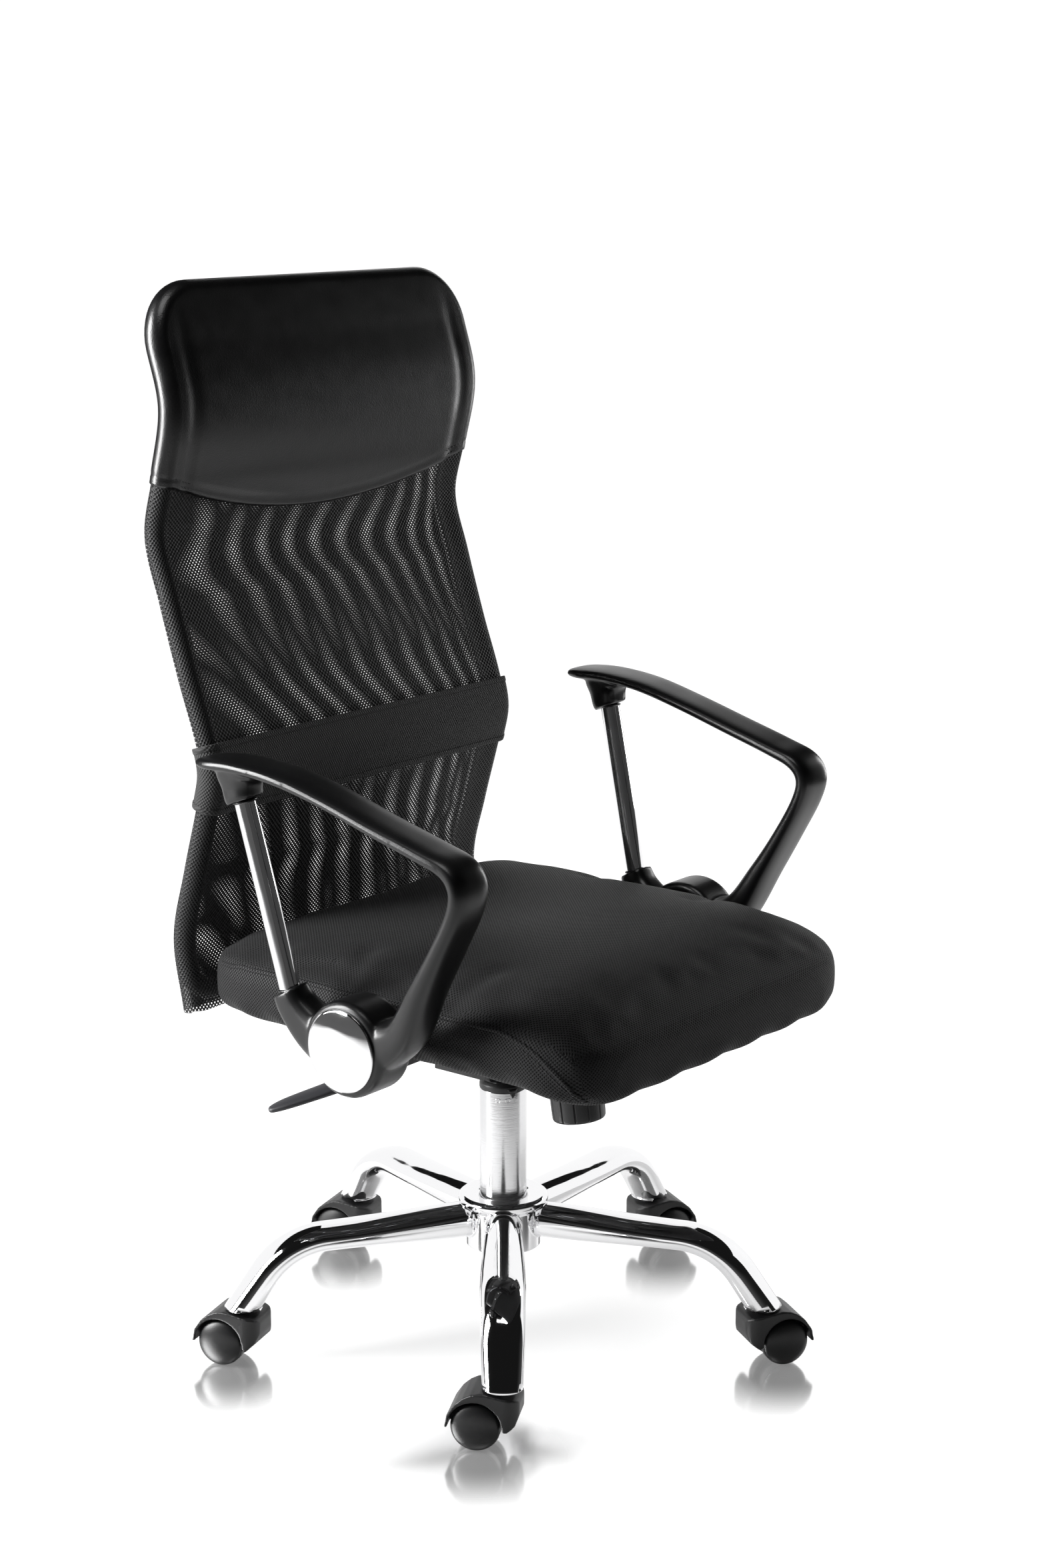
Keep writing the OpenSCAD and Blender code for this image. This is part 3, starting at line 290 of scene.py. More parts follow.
def backMesh():
    # open polyester net: round holes in diagonal rows, which show what is behind
    material, tree, shader = startMaterial("backMesh", "#161617", 0.55, **{"Specular IOR Level": 0.3})
    place = addNode(tree, "UVMap", uv_map="weave").outputs[0]
    height = latticeHeight(tree, place, weave["pitch"])
    cover = addNode(tree, "MapRange", {
        "Value": height, "From Min": 0.50, "From Max": 0.56, "To Min": 1.0, "To Max": 0.0})
    tree.links.new(cover.outputs[0], shader.inputs["Alpha"])
    fibre = addNode(tree, "TexNoise", {"Vector": place, "Scale": 1100.0, "Detail": 2.0})
    shade = addNode(tree, "ValToRGB", {"Fac": fibre.outputs["Fac"]})
    shade.color_ramp.elements[0].color = linearColour("#0A0A0A")
    shade.color_ramp.elements[1].color = linearColour("#242425")
    tree.links.new(shade.outputs["Color"], shader.inputs["Base Color"])
    addBump(tree, shader, height, 0.0004, 0.8)
    return material


def bandWeave():
    # dense twill webbing, 1.6 mm ribs on the slant, with painted shade: darker where the weave is low
    material, tree, shader = startMaterial("bandWeave", "#0C0C0D", 0.7, **{"Sheen Weight": 0.12})
    place = addNode(tree, "UVMap", uv_map="weave").outputs[0]
    height = latticeHeight(tree, place, 0.004, across=0.8)
    # colour follows the relief: painted shade in the low cells, lighter on the raised ones
    shade = addNode(tree, "ValToRGB", {"Fac": spread(tree, height, 0.3, 0.7)})
    shade.color_ramp.elements[0].color = linearColour("#060606")
    shade.color_ramp.elements[1].color = linearColour("#141415")
    tree.links.new(shade.outputs["Color"], shader.inputs["Base Color"])
    addBump(tree, shader, height, 0.0005, 0.8)
    return material


def softLeather():
    # coated leather, lightly grained: pebbles about 1.4 mm across and a soft shine
    material, tree, shader = startMaterial("softLeather", "#080809", 0.34, **{
        "Coat Weight": 0.25, "Coat Roughness": 0.18})
    pebbles = addNode(tree, "TexVoronoi", {"Vector": objectPlace(tree), "Scale": 700.0})
    wrinkles = addNode(tree, "TexNoise", {"Vector": objectPlace(tree), "Scale": 55.0, "Detail": 5.0})
    relief = math2(tree, "ADD", math2(tree, "MULTIPLY", pebbles.outputs["Distance"], 0.5), math2(
        tree, "MULTIPLY", wrinkles.outputs["Fac"], 0.6))
    tree.links.new(spread(tree, wrinkles.outputs["Fac"], 0.26, 0.42), shader.inputs["Roughness"])
    addBump(tree, shader, relief, 0.0005, 0.5)
    return material


def sewingThread():
    # twisted polyester thread
    material, tree, shader = startMaterial("sewingThread", "#1E1E20", 0.55)
    twist = addNode(tree, "TexNoise", {"Vector": objectPlace(tree), "Scale": 1500.0, "Detail": 1.0})
    addBump(tree, shader, twist.outputs["Fac"], 0.0001)
    return material


materials = {
    "chrome_plate": chromePlate(), "chrome_column": satinChrome(), "zinc_steel": zincSteel(),
    "polished_rod": groundSteel(), "spring_steel": springSteel(), "brass": turnedBrass(),
    "black_paint": powderCoat(), "rubber": rubberMoulded(), "plywood": pressedPlywood(),
    "black_plastic": mouldedPlastic("moulded-ABS", "#141415", 0.42, 0.0009, 0.0002),
    "lever_plastic": mouldedPlastic("moulded-nylon-grey", "#303033", 0.46, 0.0009, 0.0002),
    "arm_plastic": mouldedPlastic("moulded-polypropylene", "#0C0C0D", 0.3, 0.0012, 0.00008),
    "caster_nylon": mouldedPlastic("moulded-nylon", "#0E0E0F", 0.4, 0.0009, 0.0002),
    "wheel_nylon": mouldedPlastic("wheel-nylon", "#101011", 0.36, 0.0009, 0.00015),
    "seat_mesh_fabric": seatKnit(), "back_mesh_fabric": backMesh(), "band_fabric": bandWeave(),
    "black_leather": softLeather(), "thread": sewingThread(),
}
for node, ob in frame["nodes"].items():
    ob.data.materials.clear()
    ob.data.materials.append(materials[slotOf[node]])
print("materials made:", len(materials))


# ---- mesh helpers ----

def gridFaces(rows, columns, closeRows=False, closeColumns=False):
    # quads between neighbours of a rows x columns grid, numbered row by row
    i, j = np.meshgrid(np.arange(rows - (not closeRows)), np.arange(columns - (not closeColumns)), indexing="ij")
    i, j = i.ravel(), j.ravel()
    k, m = (i + 1) % rows, (j + 1) % columns
    return np.stack([i * columns + j, i * columns + m, k * columns + m, k * columns + j], axis=1)


def makeMesh(name, points, faces, caps=()):
    mesh = bpy.data.meshes.new(name)
    every = [list(face) for face in faces] + [list(cap) for cap in caps]
    mesh.from_pydata(np.asarray(points).reshape(-1, 3).tolist(), [], every)
    mesh.polygons.foreach_set("use_smooth", [True] * len(mesh.polygons))
    return mesh


def facingOut(mesh, merge=1e-6):
    # merged and with its faces turned outwards
    work = bmesh.new()
    work.from_mesh(mesh)
    bmesh.ops.remove_doubles(work, verts=work.verts, dist=merge)
    bmesh.ops.recalc_face_normals(work, faces=work.faces)
    work.to_mesh(mesh)
    work.free()
    return mesh


def place(mesh, body, slot, replaced=(), material=None):
    piece = bpy.data.objects.new(mesh.name, mesh)
    scene.collection.objects.link(piece)
    if not mesh.materials:
        mesh.materials.append(materials[material or slot])
    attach(piece, body)
    if replaced:
        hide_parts(*replaced)
    return piece


def standIn(mesh, node, *others):
    # a finer piece in the place of CAD nodes that have the same body and finish
    return place(mesh, bodyOf[node], slotOf[node], (node, *others))


def setWeave(mesh, uv):
    # uv holds one pair of metres per face corner
    layer = mesh.uv_layers.new(name="weave")
    layer.data.foreach_set("uv", np.ascontiguousarray(uv, dtype=np.float32).ravel())


def cornerPoints(mesh):
    index = np.empty(len(mesh.loops), dtype=np.int32)
    mesh.loops.foreach_get("vertex_index", index)
    return index


def vertexPlaces(mesh):
    co = np.empty(len(mesh.vertices) * 3)
    mesh.vertices.foreach_get("co", co)
    return co.reshape(-1, 3)


def applyModifiers(ob):
    # swaps the piece's mesh for what its modifiers make of it
    result = bpy.data.meshes.new_from_object(ob.evaluated_get(bpy.context.evaluated_depsgraph_get()))
    ob.modifiers.clear()
    ob.data = result
    return result


def roundedProfile(corners, radius, steps=4):
    # outline of [r, z] corners, each rounded by an arc through quadratic blending
    corners = np.asarray(corners, dtype=float)
    out = [corners[0]]
    for a, b, c in zip(corners[:-2], corners[1:-1], corners[2:]):
        reach = min(radius, 0.45 * np.linalg.norm(b - a), 0.45 * np.linalg.norm(c - b))
        start = b + (a - b) / np.linalg.norm(a - b) * reach
        end = b + (c - b) / np.linalg.norm(c - b) * reach
        t = np.linspace(0, 1, steps + 1)[:, None]
        out.extend((1 - t) ** 2 * start + 2 * t * (1 - t) * b + t ** 2 * end)
    out.append(corners[-1])
    return np.array(out)


def frameAlong(axis):
    # two unit vectors square to the axis and to each other
    axis = np.asarray(axis, dtype=float) / np.linalg.norm(axis)
    side = np.cross(axis, (0, 0, 1) if abs(axis[2]) < 0.9 else (1, 0, 0))
    side /= np.linalg.norm(side)
    return axis, side, np.cross(axis, side)


def latheMesh(name, profile, centre=(0, 0, 0), axis=(0, 0, 1), turns=96):
    # a profile of [radius, distance along the axis] turned about the axis
    axis, side, up = frameAlong(axis)
    a = np.linspace(0, 2 * np.pi, turns, endpoint=False)
    radius, along = np.asarray(profile, dtype=float).T
    ring = np.cos(a)[:, None] * side + np.sin(a)[:, None] * up
    points = np.asarray(centre) + radius[:, None, None] * ring[None] + along[:, None, None] * axis
    mesh = makeMesh(name, points, gridFaces(len(radius), turns, closeColumns=True))
    return facingOut(mesh)


def splineThrough(points, steps):
    # Catmull-Rom curve through the rows of points
    p = np.asarray(points, dtype=float)
    q = np.vstack([p[:1], p, p[-1:]])
    t = np.linspace(0, 1, steps, endpoint=False)[:, None, None]
    a, b, c, d = q[:-3], q[1:-2], q[2:-1], q[3:]
    curve = 0.5 * (2 * b + (c - a) * t + (2 * a - 5 * b + 4 * c - d) * t ** 2 + (3 * b - a - 3 * c + d) * t ** 3)
    return np.vstack([curve.transpose(1, 0, 2).reshape(-1, p.shape[1]), p[-1:]])


def superRing(width, height, power, count):
    # |u / w|^n + |v / h|^n = 1, as count points
    a = np.linspace(0, 2 * np.pi, count, endpoint=False)
    u = np.sign(np.cos(a)) * np.abs(np.cos(a)) ** (2 / power)
    v = np.sign(np.sin(a)) * np.abs(np.sin(a)) ** (2 / power)
    return np.outer(width / 2, u), np.outer(height / 2, v)


def tubeMesh(name, centres, side, width, height, power=2.0, count=32, capped=True, closed=False):
    # rings carried along centres: side is each ring's level direction, and the other is square to it and the path
    centres = np.asarray(centres, dtype=float)
    tangent = np.gradient(centres, axis=0)
    if closed:
        tangent = np.roll(centres, -1, axis=0) - np.roll(centres, 1, axis=0)
    tangent /= np.linalg.norm(tangent, axis=1)[:, None]
    side = np.broadcast_to(side, centres.shape)
    side = side - tangent * np.sum(side * tangent, axis=1)[:, None]
    side = side / np.linalg.norm(side, axis=1)[:, None]
    up = np.cross(tangent, side)
    u, v = superRing(np.broadcast_to(width, len(centres)), np.broadcast_to(height, len(centres)), power, count)
    points = centres[:, None] + u[..., None] * side[:, None] + v[..., None] * up[:, None]
    faces = gridFaces(len(centres), count, closeRows=closed, closeColumns=True)
    caps = []
    if capped and not closed:
        caps = [range(count)[::-1], range((len(centres) - 1) * count, len(centres) * count)]
    return facingOut(makeMesh(name, points, faces, caps))


def joinMeshes(name, meshes):
    work = bmesh.new()
    for mesh in meshes:
        work.from_mesh(mesh)
    joined = bpy.data.meshes.new(name)
    work.to_mesh(joined)
    work.free()
    joined.polygons.foreach_set("use_smooth", [True] * len(joined.polygons))
    return joined


def moulded(mesh, voxel, rounds, strength=0.5):
    # one skin over overlapping solids, its edges and inner corners eased as a mould eases them
    ob = bpy.data.objects.new(mesh.name, mesh)
    scene.collection.objects.link(ob)
    remesh = ob.modifiers.new("skin", "REMESH")
    remesh.mode = "VOXEL"
    remesh.voxel_size = voxel
    smooth = ob.modifiers.new("ease", "SMOOTH")
    smooth.factor = strength
    smooth.iterations = rounds
    result = applyModifiers(ob)
    bpy.data.objects.remove(ob)
    result.name = mesh.name
    result.materials.clear()
    result.polygons.foreach_set("use_smooth", [True] * len(result.polygons))
    return result


def nodeCopy(node):
    # a copy of a CAD node's mesh, merged
    mesh = frame["nodes"][node].data.copy()
    mesh.materials.clear()
    work = bmesh.new()
    work.from_mesh(mesh)
    bmesh.ops.remove_doubles(work, verts=work.verts, dist=2e-6)
    work.to_mesh(mesh)
    work.free()
    return mesh


# ---- base ----

base = {"legs": 5, "turn": -51.6, "circle": 0.280, "legZ": 0.1295, "rootD": 0.037, "width": 0.047,
        "height": 0.027, "bendR": 0.080, "endSlope": 55, "ringPower": 2.25, "wall": 0.0018}


def legSurface(cut, rootR):
    # straight, then bent down by an arc, then straight again at the end slope;
    # each ring's size runs from round at the root to flattened, and it ends in a level cut
    slope = math.radians(base["endSlope"])
    drop = base["legZ"] - cut - base["bendR"] * (1 - math.cos(slope))
    start = base["circle"] + 0.005 - base["bendR"] * math.sin(slope) - drop / math.tan(slope)
    t = np.linspace(0, 1, 15)[:-1]
    straight = np.stack([rootR + (start - rootR) * t, np.full_like(t, base["legZ"]), 0 * t,
                         base["rootD"] + (base["width"] - base["rootD"]) * np.sin(np.pi / 2 * t),
                         base["rootD"] + (base["height"] - base["rootD"]) * (1 - np.cos(np.pi * t)) / 2], axis=1)
    s = np.linspace(0, 1, 22)
    a = slope * s
    bend = np.stack([start + base["bendR"] * np.sin(a), base["legZ"] - base["bendR"] * (1 - np.cos(a)), a,
                     base["width"] - 0.003 * s, base["height"] + 0.002 * s], axis=1)
    s = np.linspace(0, 1, 7)[1:]
    d = (drop + 0.014) * s
    end = np.stack([bend[-1, 0] + d / math.tan(slope), bend[-1, 1] - d, np.full_like(s, slope),
                    base["width"] - 0.003 - 0.004 * s, base["height"] + 0.002 + 0.003 * s], axis=1)
    rings = np.vstack([straight, bend, end])
    u, v = superRing(rings[:, 3], rings[:, 4], base["ringPower"], 64)
    away = rings[:, :1] + v * np.sin(rings[:, 2:3])
    high = rings[:, 1:2] + v * np.cos(rings[:, 2:3])
    # points below the cut slide back up their own line to the cut
    low = high < cut
    away = np.where(low, away - (cut - high) / math.tan(slope), away)
    return np.stack([u, -away, np.maximum(high, cut)], axis=-1)


def buildLegs():
    cut = float(boxOf("base_legs")[0][2])
    hubR = 0.036
    surface = legSurface(cut, hubR)
    meshes = []
    for k in range(base["legs"]):
        a = math.radians(base["turn"] + 360 / base["legs"] * k)
        turn = np.array([[math.cos(a), math.sin(a), 0], [-math.sin(a), math.cos(a), 0], [0, 0, 1]])
        meshes.append(makeMesh("legs", surface @ turn, gridFaces(*surface.shape[:2], closeColumns=True)))
    mesh = facingOut(joinMeshes("legs", meshes), merge=2e-5)
    legs = standIn(mesh, "base_legs")
    wall = legs.modifiers.new("tubeWall", "SOLIDIFY")
    wall.thickness = base["wall"]
    wall.offset = -1
    return legs


def buildHub():
    low, high = boxOf("hub")
    r, z0, z1 = 0.040, low[2], high[2]
    ringR = (high[0] - low[0]) / 2
    tubeR = (boxOf("column_tube")[1][0] - boxOf("column_tube")[0][0]) / 2
    corners = [(tubeR, z0), (r, z0), (r, z1 - 0.015), (ringR, z1 - 0.0085), (ringR, z1 - 0.003),
               (ringR - 0.004, z1), (tubeR + 0.004, z1 - 0.0012), (tubeR, z1 - 0.003), (tubeR, z0)]
    mesh = latheMesh("hubShell", roundedProfile(corners, 0.0016), turns=128)
    return standIn(mesh, "hub")


def buildWelds():
    # a bead of weld round each leg's root, under the plating
    beads = []
    for k in range(base["legs"]):
        a = math.radians(base["turn"] + 360 / base["legs"] * k)
        out = np.array([math.sin(a), -math.cos(a), 0])
        side = np.array([math.cos(a), math.sin(a), 0])
        t = np.linspace(0, 2 * np.pi, 72, endpoint=False)
        width = base["rootD"] / 2 + 0.0005
        reach = np.sqrt(0.0402 ** 2 - (width * np.cos(t)) ** 2)
        centres = reach[:, None] * out + (width * np.cos(t))[:, None] * side
        centres[:, 2] = base["legZ"] + width * np.sin(t)
        ripple = 0.0032 + 0.0003 * np.sin(24 * t)
        beads.append(tubeMesh("welds", centres, out, ripple, ripple, count=10, closed=True))
    return place(joinMeshes("welds", beads), "base", "chrome_plate")


buildLegs()
buildHub()
buildWelds()
print("base built")


# ---- gas lift ----

def buildColumn():
    low, high = boxOf("column_tube")
    r, inner = high[0], high[0] - 0.0018
    corners = [(0.006, low[2]), (r, low[2]), (r, high[2]), (inner, high[2]), (inner, low[2] + 0.003),
               (0.006, low[2] + 0.003), (0.006, low[2])]
    mesh = latheMesh("columnTube", roundedProfile(corners, 0.0007, 3), turns=128)
    return standIn(mesh, "column_tube")


def buildDustRing():
    low, high = boxOf("guide_bushing")
    top = boxOf("column_tube")[1][2]
    r, bore = high[0], (boxOf("gas_cylinder")[1][0] - boxOf("gas_cylinder")[0][0]) / 2 + 0.00015
    corners = [(bore, low[2]), (r - 0.002, low[2]), (r - 0.002, top), (r + 0.0002, top), (r + 0.0002, top + 0.006),
               (r - 0.003, high[2]), (bore + 0.004, high[2] - 0.0012), (bore + 0.002, high[2] - 0.003),
               (bore, high[2] - 0.003), (bore, low[2])]
    ring = latheMesh("dustRing", roundedProfile(corners, 0.0012), turns=128)
    # a small pointed tab hangs over the column's rim
    turn = math.radians(-28 - 90)
    across = np.array([-0.006, -0.003, 0.0, 0.003, 0.006, 0.003, 0.0, -0.003])
    up = np.array([0.004, 0.004, 0.004, 0.004, 0.004, -0.001, -0.006, -0.001])
    flat = np.stack([across, up], axis=1)
    tabs = []
    for proud in (0.0001, 0.0009):
        far = np.sqrt((r + proud) ** 2 - flat[:, 0] ** 2)
        tabs.append(np.stack([far * math.cos(turn) - flat[:, 0] * math.sin(turn),
                              far * math.sin(turn) + flat[:, 0] * math.cos(turn), top + flat[:, 1]], axis=1))
    tab = makeMesh("dustRing", np.stack(tabs), gridFaces(2, 8, closeColumns=True), [range(8), range(15, 7, -1)])
    return standIn(joinMeshes("dustRing", [ring, facingOut(tab)]), "guide_bushing")


def buildPressMarks():
    # two punched dimples that hold the bushing, just under the column's top
    top = boxOf("column_tube")[1][2]
    r = boxOf("column_tube")[1][0]
    marks = []
    for turn in (-64, -40):
        a = math.radians(turn)
        out = np.array([math.sin(a), -math.cos(a), 0])
        centre = out * (r - 0.0001) + np.array([0, 0, top - 0.008])
        rim = roundedProfile([(0.0, -0.0006), (0.0016, -0.0005), (0.0022, 0.00035), (0.0028, 0.0)], 0.0006)
        marks.append(latheMesh("pressMarks", rim, centre, out, 32))
    return place(joinMeshes("pressMarks", marks), "base", "chrome_column")


buildColumn()
buildDustRing()
buildPressMarks()
print("gas lift built")


# ---- casters ----

caster = {"wheelR": 0.025, "tread": 0.0185, "outer": 0.0275, "inner": 0.0076, "boreR": 0.00305}


def wheelProfile():
    # from the bore out along the inner side, over the tread, and a quarter ellipse for the domed face
    a = np.linspace(math.radians(4), math.pi / 2, 28)
    dome = np.stack([(caster["wheelR"] - 0.0004) * np.cos(a),
                     caster["tread"] + (caster["outer"] - caster["tread"]) * np.sin(a)], axis=1)
    inner = roundedProfile([
        (caster["boreR"], caster["inner"]), (0.010, caster["inner"]), (0.0105, caster["inner"] + 0.0015),
        (0.0195, caster["inner"] + 0.0015), (0.020, caster["inner"]), (0.0235, caster["inner"]),
        (caster["wheelR"], caster["inner"] + 0.0014), (caster["wheelR"], caster["tread"] - 0.0006),
        (caster["wheelR"] - 0.0009, caster["tread"] - 0.0003), tuple(dome[0])], 0.0005, 3)
    return np.vstack([inner, dome[1:]])


def buildCasters():
    for k in range(1, 6):
        body = f"caster_{k}"
        hood = moulded(nodeCopy(f"caster_hood_{k}"), 0.0011, 5)
        hood.name = f"hood{k}"
        standIn(hood, f"caster_hood_{k}")
        for side in "ab":
            joint = next(j for j in frame["record"]["behaviour"]["joints"] if j["name"] == f"wheel_roll_{k}{side}")
            axis = np.array(joint["axis"])
            low, high = boxOf(f"wheel_{k}{side}")
            centre = np.array(joint["pos_m"])
            if np.dot((low + high) / 2 - centre, axis) < 0:
                axis = -axis
            wheel = latheMesh(f"wheel{k}{side}", wheelProfile(), centre, axis, 96)
            standIn(wheel, f"wheel_{k}{side}")
        print("caster", body, "built")


buildCasters()


# ---- arms ----

seatZ = float(boxOf("seat_plate")[1][2])
arm = {
    "x": 0.293, "z": seatZ + 0.292, "w": 0.052, "t": 0.013, "bossZ": seatZ + 0.024, "bossY": -0.046,
    "bossR": 0.048, "bossIn": 0.256, "bossOut": 0.305, "braceR": 0.0105, "discR": 0.041, "power": 2.9,
}


def armKnots():
    x, z, w, t, boss = (arm[k] for k in ("x", "z", "w", "t", "bossZ"))
    rest = [
        (0.135, z - 0.010, x + 0.005, 0.012, 0.005), (0.130, z - 0.0085, x + 0.005, 0.034, 0.009),
        (0.112, z - 0.007, x + 0.005, 0.050, t), (0.076, z - 0.006, x + 0.004, w, t),
        (0.026, z - 0.011, x + 0.002, w, t), (-0.030, z - 0.024, x, w, t),
        (-0.092, z - 0.042, x, w, t + 0.001), (-0.148, z - 0.058, x - 0.001, w, t + 0.002),
        (-0.179, z - 0.069, x - 0.002, w - 0.001, t + 0.004), (-0.191, z - 0.086, x - 0.002, w - 0.002, t + 0.005),
        (-0.186, z - 0.111, x - 0.003, w - 0.002, t + 0.005), (-0.165, z - 0.151, x - 0.004, w - 0.002, t + 0.006),
        (-0.139, z - 0.195, x - 0.006, w - 0.002, t + 0.011), (-0.110, boss + 0.026, x - 0.011, w - 0.004, t + 0.022),
        (-0.076, boss + 0.005, x - 0.0125, w - 0.005, t + 0.040)]
    neck = [
        (-0.030, boss - 0.010, x - 0.0125, w - 0.006, 0.058), (0.004, boss + 0.006, x - 0.011, w - 0.009, 0.046),
        (0.026, boss + 0.025, x - 0.008, 0.037, 0.036), (0.0365, boss + 0.042, x - 0.0065, 0.033, 0.032)]
    socket = [
        (0.082, z - 0.042, x + 0.004, 0.031, 0.031), (0.083, z - 0.039, x + 0.004, 0.034, 0.034),
        (0.085, z - 0.027, x + 0.004, 0.036, 0.037), (0.086, z - 0.016, x + 0.004, 0.042, 0.046),
        (0.084, z - 0.0085, x + 0.004, 0.045, 0.054)]
    return rest, neck, socket


def armSweep(knots, count=48):
    # knots hold y, z, x, width and thickness: rings square to the path, level across the arm
    path = splineThrough(knots, 8)
    centres = path[:, [2, 0, 1]]
    return tubeMesh("arm", centres, (1.0, 0.0, 0.0), path[:, 3], path[:, 4], arm["power"], count)


def mirrored(mesh):
    copy = mesh.copy()
    co = vertexPlaces(copy)
    co[:, 0] *= -1
    copy.vertices.foreach_set("co", co.ravel())
    copy.flip_normals()
    return copy


def buildArms():
    rest, neck, socket = armKnots()
    bossCentre = np.array([0, arm["bossY"], arm["bossZ"]])
    boss = [(0.0, arm["bossIn"]), (arm["bossR"] - 0.004, arm["bossIn"]), (arm["bossR"], arm["bossIn"] + 0.004),
            (arm["bossR"], arm["bossOut"] - 0.006), (arm["bossR"] - 0.003, arm["bossOut"] - 0.001),
            (arm["discR"] + 0.001, arm["bossOut"]), (0.0, arm["bossOut"])]
    parts = [armSweep(k) for k in (rest, neck, socket)]
    parts.append(latheMesh("boss", boss, bossCentre, (1, 0, 0), 96))
    left = moulded(joinMeshes("armLeft", parts), 0.0018, 7)
    left.name = "armLeft"
    standIn(left, "armrest_left")
    right = mirrored(left)
    right.name = "armRight"
    standIn(right, "armrest_right")

    low = np.array([arm["x"] - 0.0065, 0.0365, arm["bossZ"] + 0.042])
    high = np.array([arm["x"] + 0.004, 0.082, arm["z"] - 0.042])
    along = high - low
    tube = latheMesh("braceLeft", [(arm["braceR"], 0.0), (arm["braceR"], np.linalg.norm(along))], low, along, 64)
    r = arm["braceR"]
    collar = [(r, 0), (r + 0.0016, 0.0004), (r + 0.0018, 0.002), (r, 0.003)]
    for at, way in ((low, along), (high, -along)):
        lip = latheMesh("lipLeft", roundedProfile(collar, 0.0008), at - way / np.linalg.norm(way) * 0.001, way, 64)
        ob = place(lip, "seat", "arm_plastic")
        place(mirrored(lip), "seat", "arm_plastic").name = ob.name.replace("Left", "Right")
    standIn(tube, "arm_brace_left")
    other = mirrored(tube)
    other.name = "braceRight"
    standIn(other, "arm_brace_right")

    dome = (boxOf("arm_discs")[1][0] - arm["bossOut"])
    a = np.linspace(0, 1, 24)
    cap = [(arm["discR"] * (1 - s), dome - (dome - 0.0024) * (1 - s) ** 2.2) for s in a]
    rim = [(arm["discR"] - 0.0012, 0.0), (arm["discR"], 0.0006), (arm["discR"], 0.0018)]
    face = np.vstack([rim, cap])
    disc = latheMesh("discs", face, (arm["bossOut"], arm["bossY"], arm["bossZ"]), (1, 0, 0), 128)
    standIn(joinMeshes("discs", [disc, mirrored(disc)]), "arm_discs")


buildArms()
print("arms built")


# ---- knob and lever ----

knob = {"r": 0.028, "h": 0.040, "grooves": 12, "grooveDeep": 0.0013, "grooveWide": 0.0016}


def buildKnob():
    joint = next(j for j in frame["record"]["behaviour"]["joints"] if j["name"] == "tension_turn")
    axis = np.array(joint["axis"]) / np.linalg.norm(joint["axis"])
    bridge = np.array(joint["pos_m"])
    bottom = bridge - axis * (0.056 + knob["h"])
    corners = [(0.0, 0.0005), (knob["r"] - 0.006, 0.0), (knob["r"] - 0.0005, 0.0015), (knob["r"], 0.007),
               (knob["r"] + 0.0005, knob["h"] - 0.001), (knob["r"] - 0.0015, knob["h"]), (knob["r"] - 0.003, knob["h"] - 0.001),
               (knob["r"] - 0.003, 0.012), (0.009, 0.012), (0.009, knob["h"] + 0.004),
               (0.017, knob["h"] + 0.004), (0.017, knob["h"] + 0.006), (0.0041, knob["h"] + 0.006), (0.0041, 0.02)]
    profile = roundedProfile(corners, 0.0025, 5)
    turns = 480
    a = np.linspace(0, 2 * np.pi, turns, endpoint=False)
    # distance round the rim from the nearest groove, and a rounded dip within it
    step = 2 * np.pi / knob["grooves"]
    away = np.abs((a + step / 2) % step - step / 2) * knob["r"]
    dip = knob["grooveDeep"] * np.exp(-(away / (knob["grooveWide"] / 2)) ** 4)
    _, side, up = frameAlong(axis)
    ring = np.cos(a)[:, None] * side + np.sin(a)[:, None] * up
    outside = np.clip((profile[:, 0] - knob["r"] + 0.0045) / 0.002, 0, 1) * (profile[:, 1] < knob["h"] + 0.001)
    radius = profile[:, :1] - outside[:, None] * dip
    points = bottom + radius[..., None] * ring[None] + profile[:, 1][:, None, None] * axis
    mesh = facingOut(makeMesh("knobShell", points, gridFaces(len(profile), turns, closeColumns=True)))
    return standIn(mesh, "tension_knob")


def buildLever():
    z = 0.349
    rod = splineThrough([(0.016, 0, z), (-0.052, 0, z), (-0.070, 0.001, z), (-0.084, 0.007, z - 0.004),
                         (-0.112, 0.024, z - 0.016), (-0.150, 0.045, z - 0.029)], 8)
    standIn(tubeMesh("leverRod", rod, (0, 1.0, 0), 0.0072, 0.0072, count=24), "height_lever")
    path = splineThrough([
        (-0.136, 0.037, z - 0.024, 0.013, 0.011), (-0.150, 0.045, z - 0.029, 0.020, 0.012),
        (-0.175, 0.058, z - 0.035, 0.026, 0.011), (-0.205, 0.074, z - 0.042, 0.027, 0.009),
        (-0.235, 0.092, z - 0.050, 0.022, 0.008), (-0.249, 0.100, z - 0.054, 0.013, 0.006),
        (-0.252, 0.102, z - 0.055, 0.005, 0.003)], 8)
    across = np.array([0.48, 0.877, 0])
    paddle = tubeMesh("leverPaddle", path[:, :3], across, path[:, 3], path[:, 4], 2.4, 40)
    return standIn(moulded(paddle, 0.0011, 4), "lever_paddle")


buildKnob()
buildLever()
print("knob and lever built")


# ---- back ----

back = {
    "height": 0.722, "half": 0.2268, "tubeR": 0.011, "topR": 0.050, "lowR": 0.026, "lowZ": seatZ + 0.010,
    "shape": [(-0.003, 24), (0.094, 35), (0.191, 18), (0.302, -5), (0.345, -11), (0.393, -3), (0.475, 18),
              (0.580, 42), (0.669, 60), (0.752, 47), (0.849, 33), (0.939, 49), (1.026, 66)],
    "seatRear": 0.204,
}
backTop = seatZ + back["height"]


